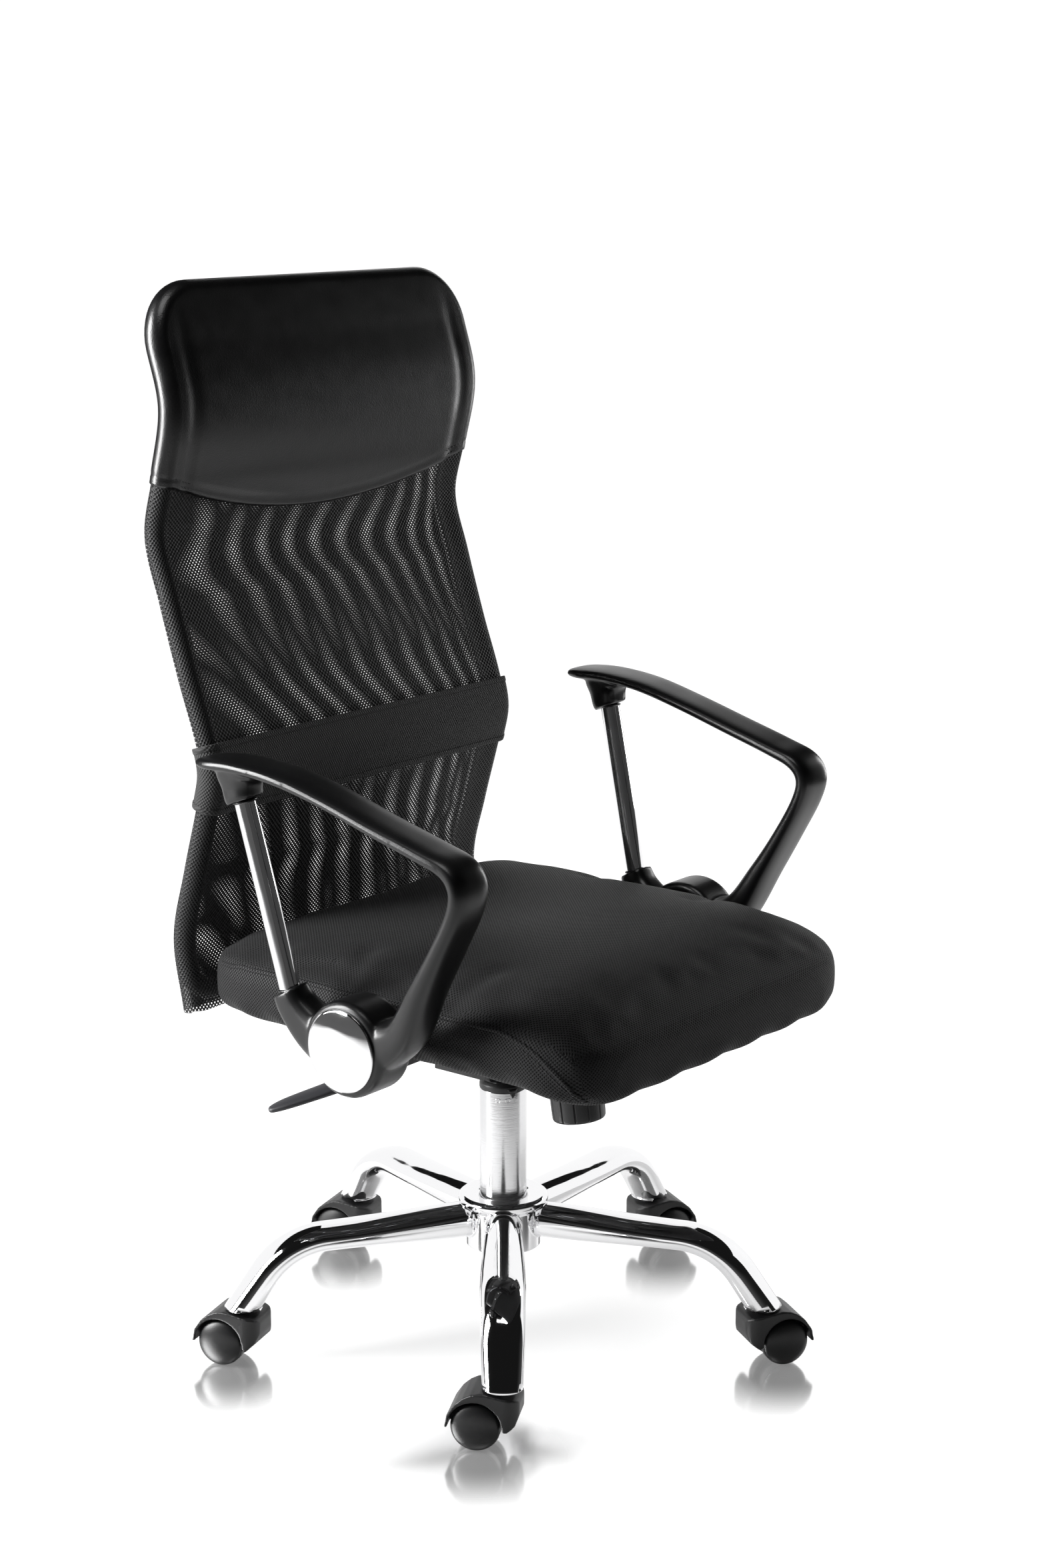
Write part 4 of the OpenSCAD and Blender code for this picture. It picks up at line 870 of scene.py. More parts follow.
def backY(z):
    # cubic Hermite curve through the side shape, with the slope at each knot from its two neighbours
    share, off = np.array(back["shape"]).T
    kz, ky = seatZ + back["height"] * share, back["seatRear"] + off / 1000
    before, after = np.r_[0, np.arange(len(kz) - 1)], np.r_[np.arange(1, len(kz)), len(kz) - 1]
    slope = (ky[after] - ky[before]) / (kz[after] - kz[before])
    z = np.asarray(z, dtype=float)
    i = np.clip(np.searchsorted(kz, z, side="right") - 1, 0, len(kz) - 2)
    w = kz[i + 1] - kz[i]
    t = (z - kz[i]) / w
    return (ky[i] * (2 * t ** 3 - 3 * t ** 2 + 1) + slope[i] * w * (t ** 3 - 2 * t ** 2 + t)
            + ky[i + 1] * (3 * t ** 2 - 2 * t ** 3) + slope[i + 1] * w * (t ** 3 - t ** 2))


def backPoint(x, z, off):
    # the point off behind the side curve at height z, square to the curve
    x, z, off = np.broadcast_arrays(np.asarray(x, float), np.asarray(z, float), np.asarray(off, float))
    tip = (backY(z + 0.001) - backY(z - 0.001)) / 0.002
    size = np.sqrt(1 + tip ** 2)
    return np.stack([x, backY(z) + off / size, z - tip * off / size], axis=-1)


def buildFrame():
    # closed loop of tube: up one side, round the top, down the other and across the bottom
    half, top, low = back["half"], backTop, back["lowZ"]
    corner = lambda cx, cz, r, a, b, n: np.stack([
        cx + r * np.cos(np.radians(np.linspace(a, b, n))), cz + r * np.sin(np.radians(np.linspace(a, b, n)))], axis=1)
    rise = np.linspace(low + back["lowR"], top - back["topR"], 110)[1:-1]
    flat = np.linspace(-1, 1, 24)[1:-1]
    loop = np.vstack([
        np.stack([np.full_like(rise, half), rise], axis=1),
        corner(half - back["topR"], top - back["topR"], back["topR"], 0, 90, 16),
        np.stack([-flat * (half - back["topR"]), np.full_like(flat, top)], axis=1),
        corner(-half + back["topR"], top - back["topR"], back["topR"], 90, 180, 16),
        np.stack([np.full_like(rise, -half), rise[::-1]], axis=1),
        corner(-half + back["lowR"], low + back["lowR"], back["lowR"], 180, 270, 10),
        np.stack([flat * (half - back["lowR"]), np.full_like(flat, low)], axis=1),
        corner(half - back["lowR"], low + back["lowR"], back["lowR"], 270, 360, 10)])
    centres = backPoint(loop[:, 0], loop[:, 1], 0.0)
    around = backPoint(loop[:, 0], loop[:, 1], 0.01) - centres
    mesh = tubeMesh("backTube", centres, around, 2 * back["tubeR"], 2 * back["tubeR"], count=24, closed=True)
    return standIn(mesh, "back_frame")


def sleeveRing(half, reach, flatSteps=70, bendSteps=14):
    # offsets across and square to the back, and the length round, for a band over both uprights
    flat = np.linspace(-half, half, flatSteps + 1)
    bend = np.linspace(0, np.pi, bendSteps + 1)[1:-1]
    x = np.r_[flat, half + reach * np.sin(bend), flat[::-1], -half - reach * np.sin(bend)]
    off = np.r_[-reach + 0 * flat, -reach * np.cos(bend), reach + 0 * flat, reach * np.cos(bend)]
    length = np.r_[0, np.cumsum(np.hypot(np.diff(x), np.diff(off)))]
    return x, off, length


cloth = {"low": 0.3690, "hide": 0.020, "reach": 0.0122, "sag": 0.003}
hem = {"side": 0.9135, "centre": 0.8755}


def hemZ(x):
    # the headrest's lower edge: level at the sides and a long curve down to the centre
    return hem["centre"] + (hem["side"] - hem["centre"]) * np.abs(np.asarray(x) / back["half"]) ** 1.9


def buildBackMesh():
    x, off, _ = sleeveRing(back["half"], cloth["reach"])
    z = np.linspace(cloth["low"], hem["side"] + cloth["hide"], 190)
    X, Z = np.meshgrid(x, z)
    O = np.broadcast_to(off, X.shape).copy()
    # between the uprights the two layers draw together a little, and pucker near the seat
    inside = np.clip(1 - (np.abs(X) / back["half"]) ** 4, 0, 1) * (np.abs(X) <= back["half"])
    O -= np.sign(O) * cloth["sag"] * inside
    low = np.exp(-(Z - cloth["low"]) / 0.03)
    O += 0.0012 * inside * low * np.sin(X * 95 + 1.3)
    Z2 = Z + 0.0022 * low * np.sin(X * 70) * (np.abs(O) > 0.006)
    points = backPoint(X, np.maximum(Z2, cloth["low"]), O)
    mesh = makeMesh("meshSleeve", points, gridFaces(*X.shape, closeColumns=True))
    # pattern: length across and up the cloth; behind, it is stretched and drawn askew, so that
    # the two layers' rows of holes meet and part in slanting, wavy stripes
    up = np.r_[0, np.cumsum(np.linalg.norm(np.diff(backPoint(0 * z, z, 0.0), axis=0), axis=1))]
    tip = (backY(z + 0.001) - backY(z - 0.001)) / 0.002
    i, j = np.meshgrid(np.arange(len(z) - 1), np.arange(len(x)), indexing="ij")
    roll = np.r_[off, off[0]]
    across = np.r_[x, x[0]]
    rounded = np.abs(across) > back["half"] - 1e-9
    across = across + np.where(rounded, np.sign(across) * (roll + cloth["reach"]), 0)
    isRear = (roll[j] + roll[j + 1]) / 2 > 0
    uv = []
    for a, b in ((i, j), (i, j + 1), (i + 1, j + 1), (i + 1, j)):
        u, v = across[b], up[a]
        wave = weave["wave"] * (np.sin(v * 17 + 0.6 + u * 5) + 0.6 * np.sin(v * 41 + u * 14))
        drawn = 2 * cloth["reach"] * tip[a]
        rearU = u * (1 + weave["stretch"]) + weave["skew"] * v + wave + 0.47 * drawn
        rearV = v - 0.93 * drawn
        uv.append(np.stack([np.where(isRear, rearU, u), np.where(isRear, rearV, v)], axis=-1))
    setWeave(mesh, np.stack(uv, axis=2).reshape(-1, 2))
    sleeve = standIn(mesh, "back_mesh")
    return sleeve


def ringBand(name, zLow, zHigh, reach, rows):
    x, off, length = sleeveRing(back["half"], reach)
    z = np.linspace(zLow, zHigh, rows)
    X, Z = np.meshgrid(x, z)
    O = np.broadcast_to(off, X.shape)
    mesh = makeMesh(name, backPoint(X, Z, O), gridFaces(*X.shape, closeColumns=True))
    around = np.r_[length, length[-1] + 0.001]
    i, j = np.meshgrid(np.arange(rows - 1), np.arange(len(x)), indexing="ij")
    uv = np.stack([np.stack([around[b], z[a]], axis=-1) for a, b in
                   ((i, j), (i, j + 1), (i + 1, j + 1), (i + 1, j))], axis=2)
    setWeave(mesh, uv.reshape(-1, 2))
    return mesh


lumbar = {"low": 0.588, "high": 0.654, "reach": 0.0152, "wall": 0.0012, "hemIn": 0.003}


def buildLumbarBand():
    zLow, zHigh = lumbar["low"], lumbar["high"]
    mesh = ringBand("lumbarBand", zLow, zHigh, lumbar["reach"], 14)
    band = standIn(mesh, "lumbar_band")
    thick = band.modifiers.new("cloth", "SOLIDIFY")
    thick.thickness = lumbar["wall"]
    thick.offset = 1
    # its two edges are folded and sewn: a narrow raised hem on each
    hems = []
    for z in (zLow + lumbar["hemIn"], zHigh - lumbar["hemIn"]):
        x, off, _ = sleeveRing(back["half"], lumbar["reach"] + 0.0014)
        centres = backPoint(x, np.full_like(x, z), off)
        out = backPoint(x, np.full_like(x, z), off * 1.2) - backPoint(x, np.full_like(x, z), off * 0.8)
        out[np.abs(x) > back["half"], 0] = np.sign(x[np.abs(x) > back["half"]]) * 0.004
        hems.append(tubeMesh("bandHem", centres, out, 0.0012, 0.0062, 2.6, 10, closed=True))
    hemMesh = joinMeshes("bandHem", hems)
    corner = cornerPoints(hemMesh)
    co = vertexPlaces(hemMesh)[corner]
    setWeave(hemMesh, co[:, [0, 2]])
    place(hemMesh, "seat", "band_fabric")
    return band


def stitchLine(name, points, outward, length=0.0034, gap=0.0016, radius=0.00042):
    # short capsules laid along a line of points, end to end with gaps
    points = np.asarray(points)
    run = np.r_[0, np.cumsum(np.linalg.norm(np.diff(points, axis=0), axis=1))]
    starts = np.arange(0.001, run[-1] - length, length + gap)
    at = lambda s: np.stack([np.interp(s, run, points[:, k]) for k in range(3)], axis=-1)
    away = lambda s: np.stack([np.interp(s, run, outward[:, k]) for k in range(3)], axis=-1)
    steps = np.linspace(0, 1, 5)
    bulge = radius * np.array([0.35, 0.9, 1.0, 0.9, 0.35])
    ring = np.linspace(0, 2 * np.pi, 6, endpoint=False)
    s = starts[:, None] + length * steps[None]
    centre = at(s)
    n = away(s)
    n /= np.linalg.norm(n, axis=-1, keepdims=True)
    t = at(s + 1e-4) - at(s - 1e-4)
    t /= np.linalg.norm(t, axis=-1, keepdims=True)
    b = np.cross(t, n)
    arch = (0.25 - (steps - 0.5) ** 2) * radius * 1.6
    centre = centre + n * arch[None, :, None]
    points = centre[:, :, None] + bulge[None, :, None, None] * (
        np.cos(ring)[None, None, :, None] * n[:, :, None] + np.sin(ring)[None, None, :, None] * b[:, :, None])
    one = gridFaces(5, 6, closeColumns=True)
    faces = (one[None] + 30 * np.arange(len(starts))[:, None, None]).reshape(-1, 4)
    caps = []
    for k in range(len(starts)):
        caps += [[30 * k + m for m in range(5, -1, -1)], [30 * k + 24 + m for m in range(6)]]
    return facingOut(makeMesh(name, points, faces, caps), merge=1e-9)


headrest = {"reach": 0.0140, "puff": 0.0040, "wall": 0.0012, "dip": 0.0016}


def coverColumns():
    # x of each column, closer together round the top corners
    r, half = back["topR"], back["half"]
    a = np.linspace(0, np.pi / 2, 14)
    right = half - r + r * np.sin(a)
    flat = np.linspace(-(half - r), half - r, 44)[1:-1]
    return np.r_[-right[::-1], flat, right]


def coverTop(x):
    r = back["topR"]
    over = np.clip(np.abs(x) - (back["half"] - r), 0, r)
    return backTop - r + np.sqrt(np.maximum(r * r - over * over, 0))


def buildHeadrest():
    # two faces, front and rear, joined by a half-round strip over the frame's tube
    x = coverColumns()
    low, high = hemZ(x), coverTop(x)
    rows = 64
    v = np.linspace(0, 1, rows)[:, None]
    X = np.broadcast_to(x, (rows, len(x)))
    Z = low + (high - low) * v
    u = X / back["half"]
    top = np.clip((coverTop(X) - Z) / 0.06, 0, 1)
    edge = np.clip((1 - np.abs(u)) / 0.17, 0, 1)
    dip = headrest["dip"] * np.exp(-((1 - np.abs(u) - 0.085) / 0.03) ** 2) * top
    swell = np.sin(np.pi / 2 * edge) * np.sin(np.pi / 2 * top)
    fold = 0.0007 * np.exp(-((Z - low - 0.0095) / 0.0012) ** 2)
    parts = []
    for sign in (-1, 1):
        depth = headrest["reach"] - 0.003 * swell + headrest["puff"] * swell * (sign < 0) - fold - dip
        points = backPoint(X, Z, sign * depth)
        parts.append(makeMesh("headrestCover", points, gridFaces(rows, len(x))))
    # the strip's line runs up the right edge, over the top and down the left
    rise = Z[:, -1]
    line = np.vstack([np.stack([X[:, -1], rise], axis=1), np.stack([x, high], axis=1)[::-1][1:-1],
                      np.stack([X[:, 0], rise], axis=1)[::-1]])
    r, half = back["topR"], back["half"]
    centre = np.stack([np.sign(line[:, 0]) * np.minimum(np.abs(line[:, 0]), half - r),
                       np.minimum(line[:, 1], backTop - r)], axis=1)
    out = line - centre
    straight = np.linalg.norm(out, axis=1) < 1e-6
    out[straight] = (0, 1)
    upright = (line[:, 1] <= backTop - r + 1e-9)
    out[upright] = np.stack([np.sign(line[upright, 0]), 0 * line[upright, 1]], axis=1)
    out /= np.linalg.norm(out, axis=1)[:, None]
    bend = np.linspace(-np.pi / 2, np.pi / 2, 17)
    reach = headrest["reach"]
    foldEdge = np.r_[fold[:, -1], np.zeros(len(line) - 2 * rows), fold[::-1, 0]]
    size = (reach - foldEdge)[:, None]
    base3 = backPoint(line[:, 0:1], line[:, 1:2], size * np.sin(bend)[None])
    lean = backPoint(0 * line[:, 0], line[:, 1] + 0.0005, 0.0) - backPoint(0 * line[:, 0], line[:, 1] - 0.0005, 0.0)
    lean /= np.linalg.norm(lean, axis=1)[:, None]
    outward = out[:, :1] * np.array([1.0, 0, 0]) + out[:, 1:] * lean
    strip = base3 + (size * np.cos(bend)[None])[..., None] * outward[:, None]
    parts.append(makeMesh("headrestCover", strip, gridFaces(len(line), len(bend))))
    mesh = facingOut(joinMeshes("headrestCover", parts), merge=4e-5)
    cover = standIn(mesh, "headrest_cover")
    wall = cover.modifiers.new("hide", "SOLIDIFY")
    wall.thickness = headrest["wall"]
    wall.offset = -1
    # two rows of stitches along the hem, in front and behind
    xs = np.linspace(-back["half"] + 0.002, back["half"] - 0.002, 160)
    lines = []
    for sign in (-1, 1):
        for up in (0.0045, 0.0095):
            z = hemZ(xs) + up
            reachAt = headrest["reach"] - 0.0003 + 0 * xs
            points = backPoint(xs, z, sign * reachAt)
            lines.append(stitchLine("hemStitches", points, backPoint(xs, z, sign * 0.03) - points))
    place(joinMeshes("hemStitches", lines), "seat", "black_leather", material="thread")
    return cover


buildFrame()
buildBackMesh()
buildLumbarBand()
buildHeadrest()
print("back built")


# ---- seat ----

seat = {
    "w": 0.500, "d": 0.492, "forward": 0.042, "over": 0.013, "power": 9.0, "side": 0.061, "crown": 0.034,
    "drop": 0.025,
    "under": -0.0015, "voxel": 0.006, "pressure": 4.0, "cap": 0.005, "shrink": 0.004, "weltUp": 0.0625,
}


def seatDrop(y):
    # how far the front sinks: the square of the share of the way from the bend to the front edge
    front = -seat["d"] / 2 - seat["forward"] + 0.030
    bendFrom = front + 0.088
    t = np.clip((bendFrom - y) / (seat["d"] / 2 + seat["forward"] + bendFrom), 0, 1.2)
    return seat["drop"] * t ** 2


def seatShell(shrink):
    # rings of |x/w|^n + |y/d|^n = 1, each drawn in and raised along the cushion's side profile
    half = min(seat["w"], seat["d"]) / 2
    side, crown = seat["side"], seat["crown"]
    profile = np.array([
        (0.246, seat["under"]), (0.15, seat["under"]), (0.060, seat["under"]), (0.030, seat["under"]),
        (0.016, 0.004), (0.006, 0.012), (0.0005, 0.024), (0.0, 0.040), (0.001, side - 0.008), (0.004, side),
        (0.012, side + 0.006), (0.028, side + 0.38 * crown), (0.22 * half, side + 0.62 * crown),
        (0.39 * half, side + 0.82 * crown), (0.61 * half, side + 0.95 * crown),
        (0.83 * half, side + crown), (0.246, side + crown)])
    profile = splineThrough(profile, 4)
    # only what is above the board is drawn in
    shrink = shrink * np.clip((profile[:, 1] - 0.008) / 0.02, 0, 1)
    inset = np.minimum(profile[:, 0] + shrink, 0.2455)
    high = profile[:, 1] - shrink * np.clip((profile[:, 1] - side) / 0.01, 0, 1)
    a = np.linspace(0, 2 * np.pi, 180, endpoint=False)
    c = np.sign(np.cos(a)) * np.abs(np.cos(a)) ** (2 / seat["power"])
    s = np.sign(np.sin(a)) * np.abs(np.sin(a)) ** (2 / seat["power"])
    x = (seat["w"] / 2 - inset)[:, None] * c
    y = ((seat["d"] + seat["over"]) / 2 - inset)[:, None] * s - seat["forward"] + seat["over"] / 2
    z = seatZ + high[:, None] - seatDrop(y)
    points = np.stack([x, y, z], axis=-1)
    faces = gridFaces(len(inset), len(a), closeColumns=True)
    count = len(a)
    caps = [range(count)[::-1], range((len(inset) - 1) * count, len(inset) * count)]
    return facingOut(makeMesh("seatCushion", points, faces, caps))


def swellCloth(ob):
    # remeshed evenly, blown up as cloth round foam, and its movement capped
    remesh = ob.modifiers.new("even", "REMESH")
    remesh.mode = "VOXEL"
    remesh.voxel_size = seat["voxel"]
    applyModifiers(ob)
    before = vertexPlaces(ob.data).copy()
    outward = np.empty(len(ob.data.vertices) * 3)
    ob.data.vertices.foreach_get("normal", outward)
    outward = outward.reshape(-1, 3)
    grip = ob.vertex_groups.new(name="held")
    held = np.where(before[:, 2] < seatZ + 0.012 - seatDrop(before[:, 1]))[0]
    grip.add(held.tolist(), 1.0, "ADD")
    sim = ob.modifiers.new("cover", "CLOTH")
    sim.settings.use_pressure = True
    sim.settings.uniform_pressure_force = seat["pressure"]
    sim.settings.vertex_group_mass = "held"
    sim.settings.effector_weights.gravity = 0
    sim.settings.tension_stiffness = 40
    sim.settings.compression_stiffness = 30
    sim.settings.bending_stiffness = 12
    sim.settings.quality = 5
    for frameNumber in range(1, 21):
        scene.frame_set(frameNumber)
    applyModifiers(ob)
    scene.frame_set(1)
    after = vertexPlaces(ob.data)
    # only the swelling is kept: the foam under the cloth stops it folding inwards
    move = np.einsum("ij,ij->i", after - before, outward)
    after = before + outward * np.clip(move, -0.0005, seat["cap"])[:, None]
    ob.data.vertices.foreach_set("co", after.ravel())
    ob.data.update()


def onSurface(tree, points, lift):
    # nearest points of a surface, lifted off it, with the outward direction there
    found = [tree.find_nearest(Vector(p)) for p in points]
    at = np.array([f[0][:] for f in found])
    out = np.array([f[1][:] for f in found])
    return at + out * lift, out


def buildSeams(mesh):
    # the seam's folded ridge, and a row of stitches along the lower side of the corner's part
    tree = BVHTree.FromPolygons([v.co[:] for v in mesh.vertices], [p.vertices[:] for p in mesh.polygons])
    ridges, rows = [], []
    for sign in (1, -1):
        line = seamLine() * (sign, 1, 1)
        at, out = onSurface(tree, line, -0.0004)
        at = splineThrough(at[::3], 3)
        _, out = onSurface(tree, at, 0)
        ridges.append(tubeMesh("seatSeam", at, out, 0.0030, 0.0052, 2.0, 10))
        corner, away = onSurface(tree, line[120:] + np.array([sign * 0.0, 0.0045, -0.0045]), 0.0002)
        rows.append(stitchLine("seatStitches", corner, away))
    seam = joinMeshes("seatSeam", ridges)
    setWeave(seam, vertexPlaces(seam)[cornerPoints(seam)][:, [1, 2]])
    place(seam, "seat", "seat_mesh_fabric")
    place(joinMeshes("seatStitches", rows), "seat", "seat_mesh_fabric", material="thread")


def buildSeat():
    mesh = seatShell(seat["shrink"])
    ob = bpy.data.objects.new("seatCushion", mesh)
    scene.collection.objects.link(ob)
    swellCloth(ob)
    ease = ob.modifiers.new("ease", "SMOOTH")
    ease.factor = 0.5
    ease.iterations = 6
    finer = ob.modifiers.new("finer", "SUBSURF")
    finer.levels = finer.render_levels = 1
    applyModifiers(ob)
    shapeSeat(ob.data)
    ob.data.name = "seatCushion"
    ob.data.materials.clear()
    ob.data.materials.append(materials["seat_mesh_fabric"])
    ob.data.polygons.foreach_set("use_smooth", [True] * len(ob.data.polygons))
    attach(ob, "seat")
    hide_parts("seat_cushion")
    buildSeams(ob.data)
    return ob


def seamLine():
    # along the side at the top panel's edge, then down the front corner to the underside
    half = seat["w"] / 2
    front = -seat["d"] / 2 - seat["forward"]
    line = splineThrough([
        (-half, 0.185, seat["weltUp"] - 0.004), (-half, 0.100, seat["weltUp"]), (-half, 0.0, seat["weltUp"]),
        (-half, -0.100, seat["weltUp"]), (-half, -0.180, seat["weltUp"] - 0.002),
        (-half, -0.215, seat["weltUp"] - 0.008), (-half + 0.002, front + 0.050, seat["weltUp"] - 0.016),
        (-half + 0.012, front + 0.024, 0.030), (-half + 0.022, front + 0.012, 0.012),
        (-half + 0.034, front + 0.012, 0.002)], 24)
    line[:, 2] += seatZ - seatDrop(line[:, 1])
    return line


def gapTo(points, line, reach):
    # distance from each point to the nearest of a line's points, or reach if farther
    gap = np.full(len(points), reach)
    near = np.where(np.all((points > line.min(0) - reach) & (points < line.max(0) + reach), axis=1))[0]
    for part in np.array_split(near, max(1, len(near) // 4000)):
        gap[part] = np.minimum(gap[part], np.linalg.norm(points[part][:, None] - line[None], axis=2).min(1))
    return gap


dents = {
    "besideArm": [(-0.262, 0.004, 0.050), (-0.225, 0.012, 0.074), (-0.185, 0.024, 0.086)],
    "beforeArm": [(-0.262, -0.118, 0.050), (-0.228, -0.122, 0.072), (-0.170, -0.126, 0.084)],
}


def shapeSeat(mesh):
    # dents beside the arm's boss, a raised seam, and a slightly wavy lower edge
    co = vertexPlaces(mesh)
    normal = np.empty(len(mesh.vertices) * 3)
    mesh.vertices.foreach_get("normal", normal)
    normal = normal.reshape(-1, 3)
    move = np.zeros(len(co))
    for sign in (1, -1):
        turned = co * (sign, 1, 1)
        for points in dents.values():
            line = splineThrough(np.array(points) + (0, 0, seatZ), 16)
            move -= 0.0034 * np.exp(-(gapTo(turned, line, 0.06) / 0.014) ** 2)
        gap = gapTo(turned, seamLine(), 0.03)
        move += 0.0014 * np.exp(-(gap / 0.004) ** 2) - 0.0012 * np.exp(-((gap - 0.011) / 0.006) ** 2)
    up = co[:, 2] - seatZ + seatDrop(co[:, 1])
    ripple = np.exp(-((up - 0.012) / 0.010) ** 2)
    move += 0.0011 * ripple * np.sin(co[:, 1] * 120 + co[:, 0] * 90) * (up < 0.04)
    co = co + normal * move[:, None]
    low, high = boxOf("seat_cushion")
    co = np.minimum(np.maximum(co, low - 0.004), high + 0.002)
    mesh.vertices.foreach_set("co", co.ravel())
    mesh.update()
    normals = np.empty(len(mesh.polygons) * 3)
    mesh.polygons.foreach_get("normal", normals)
    normals = normals.reshape(-1, 3)
    sizes = np.empty(len(mesh.polygons), dtype=np.int32)
    mesh.polygons.foreach_get("loop_total", sizes)
    isSide = np.repeat(np.abs(normals[:, 0]) > 0.62, sizes)
    isFront = np.repeat((np.abs(normals[:, 1]) > 0.75) & (np.abs(normals[:, 0]) <= 0.62), sizes)
    point = co[cornerPoints(mesh)]
    uv = point[:, [0, 1]].copy()
    uv[isSide] = point[isSide][:, [1, 2]]
    uv[isFront] = point[isFront][:, [0, 2]]
    setWeave(mesh, uv)


buildSeat()
print("seat built")


# ---- floor, world and lights ----

studio = {"gloss": 0.8, "near": 0.03, "far": 0.155, "towards": (-0.022, -0.017, 0.0), "cardR": 0.64, "cardTop": 0.5}


def stagePiece(name, points, faces):
    ob = bpy.data.objects.new(name, makeMesh(name, points, faces))
    scene.collection.objects.link(ob)
    material = bpy.data.materials.new(name)
    material.use_nodes = True
    material.node_tree.nodes.clear()
    ob.data.materials.append(material)
    ob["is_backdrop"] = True
    return ob, material.node_tree


def buildFloor():
    # white board lit from below (it glows), with a painted shadow round the middle under the chair where the camera
    # sees it, polished round the chair so that it mirrors the casters
    _, tree = stagePiece("floor", np.array([(-40, -40, 0), (40, -40, 0), (40, 40, 0), (-40, 40, 0)]) - (0, 0, 0.0003),
                          [[0, 1, 2, 3]])
    spot = addNode(tree, "TexCoord").outputs["Object"]
    away = addNode(tree, "VectorMath", {0: spot}, operation="LENGTH").outputs["Value"]
    beside = None
    for k in range(1, 6):
        wheel = np.mean([boxOf(f"wheel_{k}a"), boxOf(f"wheel_{k}b")], axis=(0, 1))
        mark = (wheel[0] + studio["towards"][0], wheel[1] + studio["towards"][1], 0.0)
        gap = addNode(tree, "VectorMath", {0: spot, 1: mark}, operation="DISTANCE").outputs["Value"]
        beside = gap if beside is None else math2(tree, "MINIMUM", beside, gap)
    near = addNode(tree, "MapRange", {
        "Value": beside, "From Min": studio["near"], "From Max": studio["far"], "To Min": 1.0, "To Max": 0.0})
    near.interpolation_type = "SMOOTHSTEP"
    # what the camera sees: the glow is darker round the middle, under the chair, a painted shadow
    under = addNode(tree, "MapRange", {
        "Value": away, "From Min": 0.03, "From Max": 0.36, "To Min": 0.66, "To Max": 1.05})
    under.interpolation_type = "SMOOTHSTEP"
    seen = under.outputs[0]
    # what everything but the camera sees and is lit by: painted light, brighter on the left than on the right and
    # dimmer far off
    side = addNode(tree, "VectorMath", {0: spot, 1: (0.618, -0.786, 0.0)}, operation="DOT_PRODUCT").outputs["Value"]
    across = addNode(tree, "MapRange", {
        "Value": side, "From Min": -0.5, "From Max": 0.5, "To Min": 0.80, "To Max": 0.42}).outputs[0]
    fade = addNode(tree, "MapRange", {
        "Value": away, "From Min": 1.0, "From Max": 2.6, "To Min": 1.0, "To Max": 0.12})
    fade.interpolation_type = "SMOOTHSTEP"
    paintedLight = math2(tree, "MULTIPLY", across, fade.outputs[0])
    path = addNode(tree, "LightPath")
    strength = addNode(tree, "Mix", {0: path.outputs["Is Camera Ray"], 2: paintedLight, 3: seen})
    glow = addNode(tree, "Emission", {"Strength": strength.outputs[0]})
    paper = addNode(tree, "BsdfDiffuse", {"Color": linearColour("#8C8C8C")})
    board = addNode(tree, "AddShader", {0: glow.outputs[0], 1: paper.outputs[0]})
    gloss = addNode(tree, "BsdfGlossy", {"Color": linearColour("#FFFFFF"), "Roughness": 0.13})
    mix = addNode(tree, "MixShader", {
        "Fac": math2(tree, "MULTIPLY", near.outputs[0], studio["gloss"]), 1: board.outputs[0], 2: gloss.outputs[0]})
    addNode(tree, "OutputMaterial", {"Surface": mix.outputs[0]})


def buildCard():
    # low white card round the back, which the floor and the chrome mirror
    a = np.radians(38.2 + np.linspace(-95, 95, 60))
    z = np.array([0.001, studio["cardTop"]])
    points = np.stack([
        np.broadcast_to(studio["cardR"] * np.cos(a), (2, 60)), np.broadcast_to(studio["cardR"] * np.sin(a), (2, 60)),
        np.broadcast_to(z[:, None], (2, 60))], axis=-1)
    ob, tree = stagePiece("card", points, gridFaces(2, 60))
    ob.visible_camera = False
    ob.visible_shadow = False
    glow = addNode(tree, "Emission", {"Strength": 1.05})
    addNode(tree, "OutputMaterial", {"Surface": glow.outputs[0]})


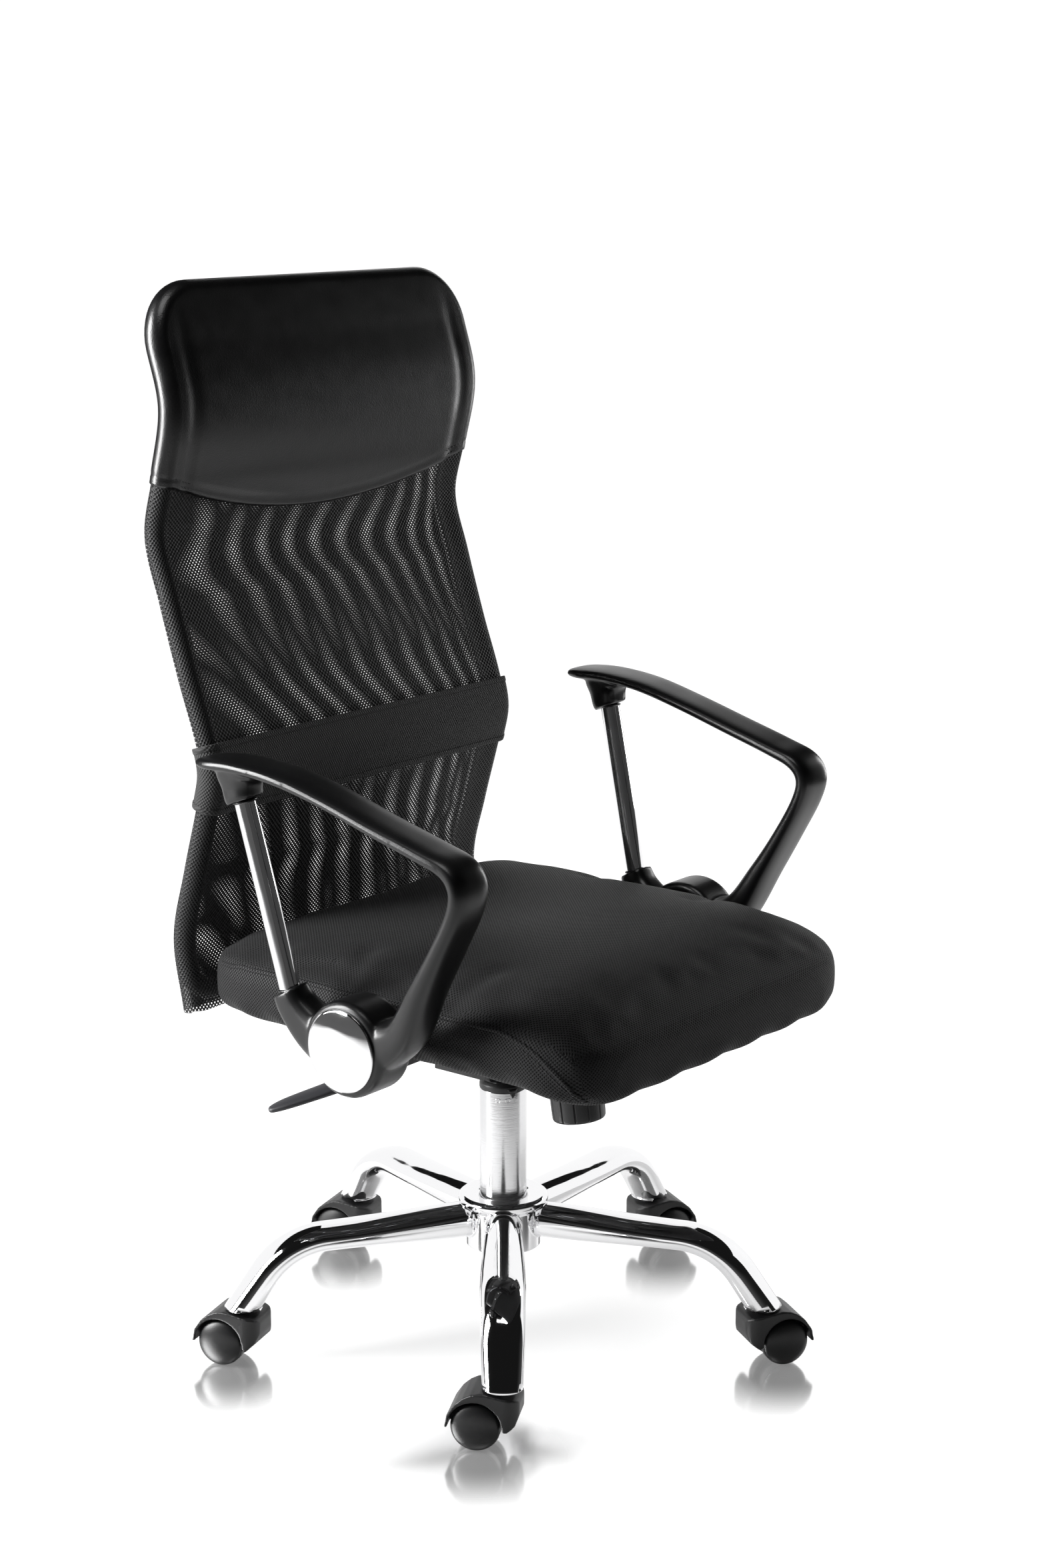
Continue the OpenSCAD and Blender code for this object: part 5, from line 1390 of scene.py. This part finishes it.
def buildScreen():
    # tall white screen behind on the right, which the far brace and the right edges mirror
    points = np.array([(1.25, 1.45, 0.2), (1.95, 0.65, 0.2), (1.95, 0.65, 2.0), (1.25, 1.45, 2.0)])
    ob, tree = stagePiece("screen", points, [[0, 1, 2, 3]])
    ob.visible_camera = False
    ob.visible_shadow = False
    glow = addNode(tree, "Emission", {"Strength": 1.0})
    addNode(tree, "OutputMaterial", {"Surface": glow.outputs[0]})


def buildWorld():
    # white to look at, and a dim room to everything else, a little lighter near the horizon
    world = bpy.data.worlds.new("studio")
    world.use_nodes = True
    tree = world.node_tree
    tree.nodes.clear()
    seen = addNode(tree, "Background", {"Color": (1, 1, 1, 1), "Strength": 1.1})
    way = addNode(tree, "TexCoord")
    parts = addNode(tree, "SeparateXYZ", {0: way.outputs["Generated"]})
    lit = addNode(tree, "MapRange", {
        "Value": parts.outputs[2], "From Min": 0.0, "From Max": 0.45, "To Min": 0.06, "To Max": 0.008})
    lit.interpolation_type = "SMOOTHSTEP"
    room = addNode(tree, "Background", {"Color": (1, 1, 1, 1), "Strength": lit.outputs[0]})
    path = addNode(tree, "LightPath")
    mix = addNode(tree, "MixShader", {
        "Fac": path.outputs["Is Camera Ray"], 1: room.outputs[0], 2: seen.outputs[0]})
    addNode(tree, "OutputWorld", {"Surface": mix.outputs[0]})
    scene.world = world


def softbox(name, place, target, size, power):
    data = bpy.data.lights.new(name, "AREA")
    data.shape = "RECTANGLE"
    data.size, data.size_y = size
    data.energy = power
    lamp = bpy.data.objects.new(name, data)
    lamp.location = place
    lamp.rotation_euler = (Vector(target) - Vector(place)).to_track_quat("-Z", "Y").to_euler()
    scene.collection.objects.link(lamp)


buildFloor()
buildCard()
buildScreen()
buildWorld()
softbox("keyLeft", (-1.75, 1.45, 1.45), (0, 0, 0.9), (0.9, 2.2), 170)
softbox("fillRight", (2.15, -0.3, 0.85), (0.1, 0.1, 1.0), (0.4, 1.1), 11)
softbox("topLight", (-0.5, -0.3, 3.0), (0, 0, 0.3), (1.1, 1.1), 14)
scene.view_settings.view_transform = "Standard"
scene.view_settings.look = "None"
print("studio lit")

visualBox = [list(map(float, corner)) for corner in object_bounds()]
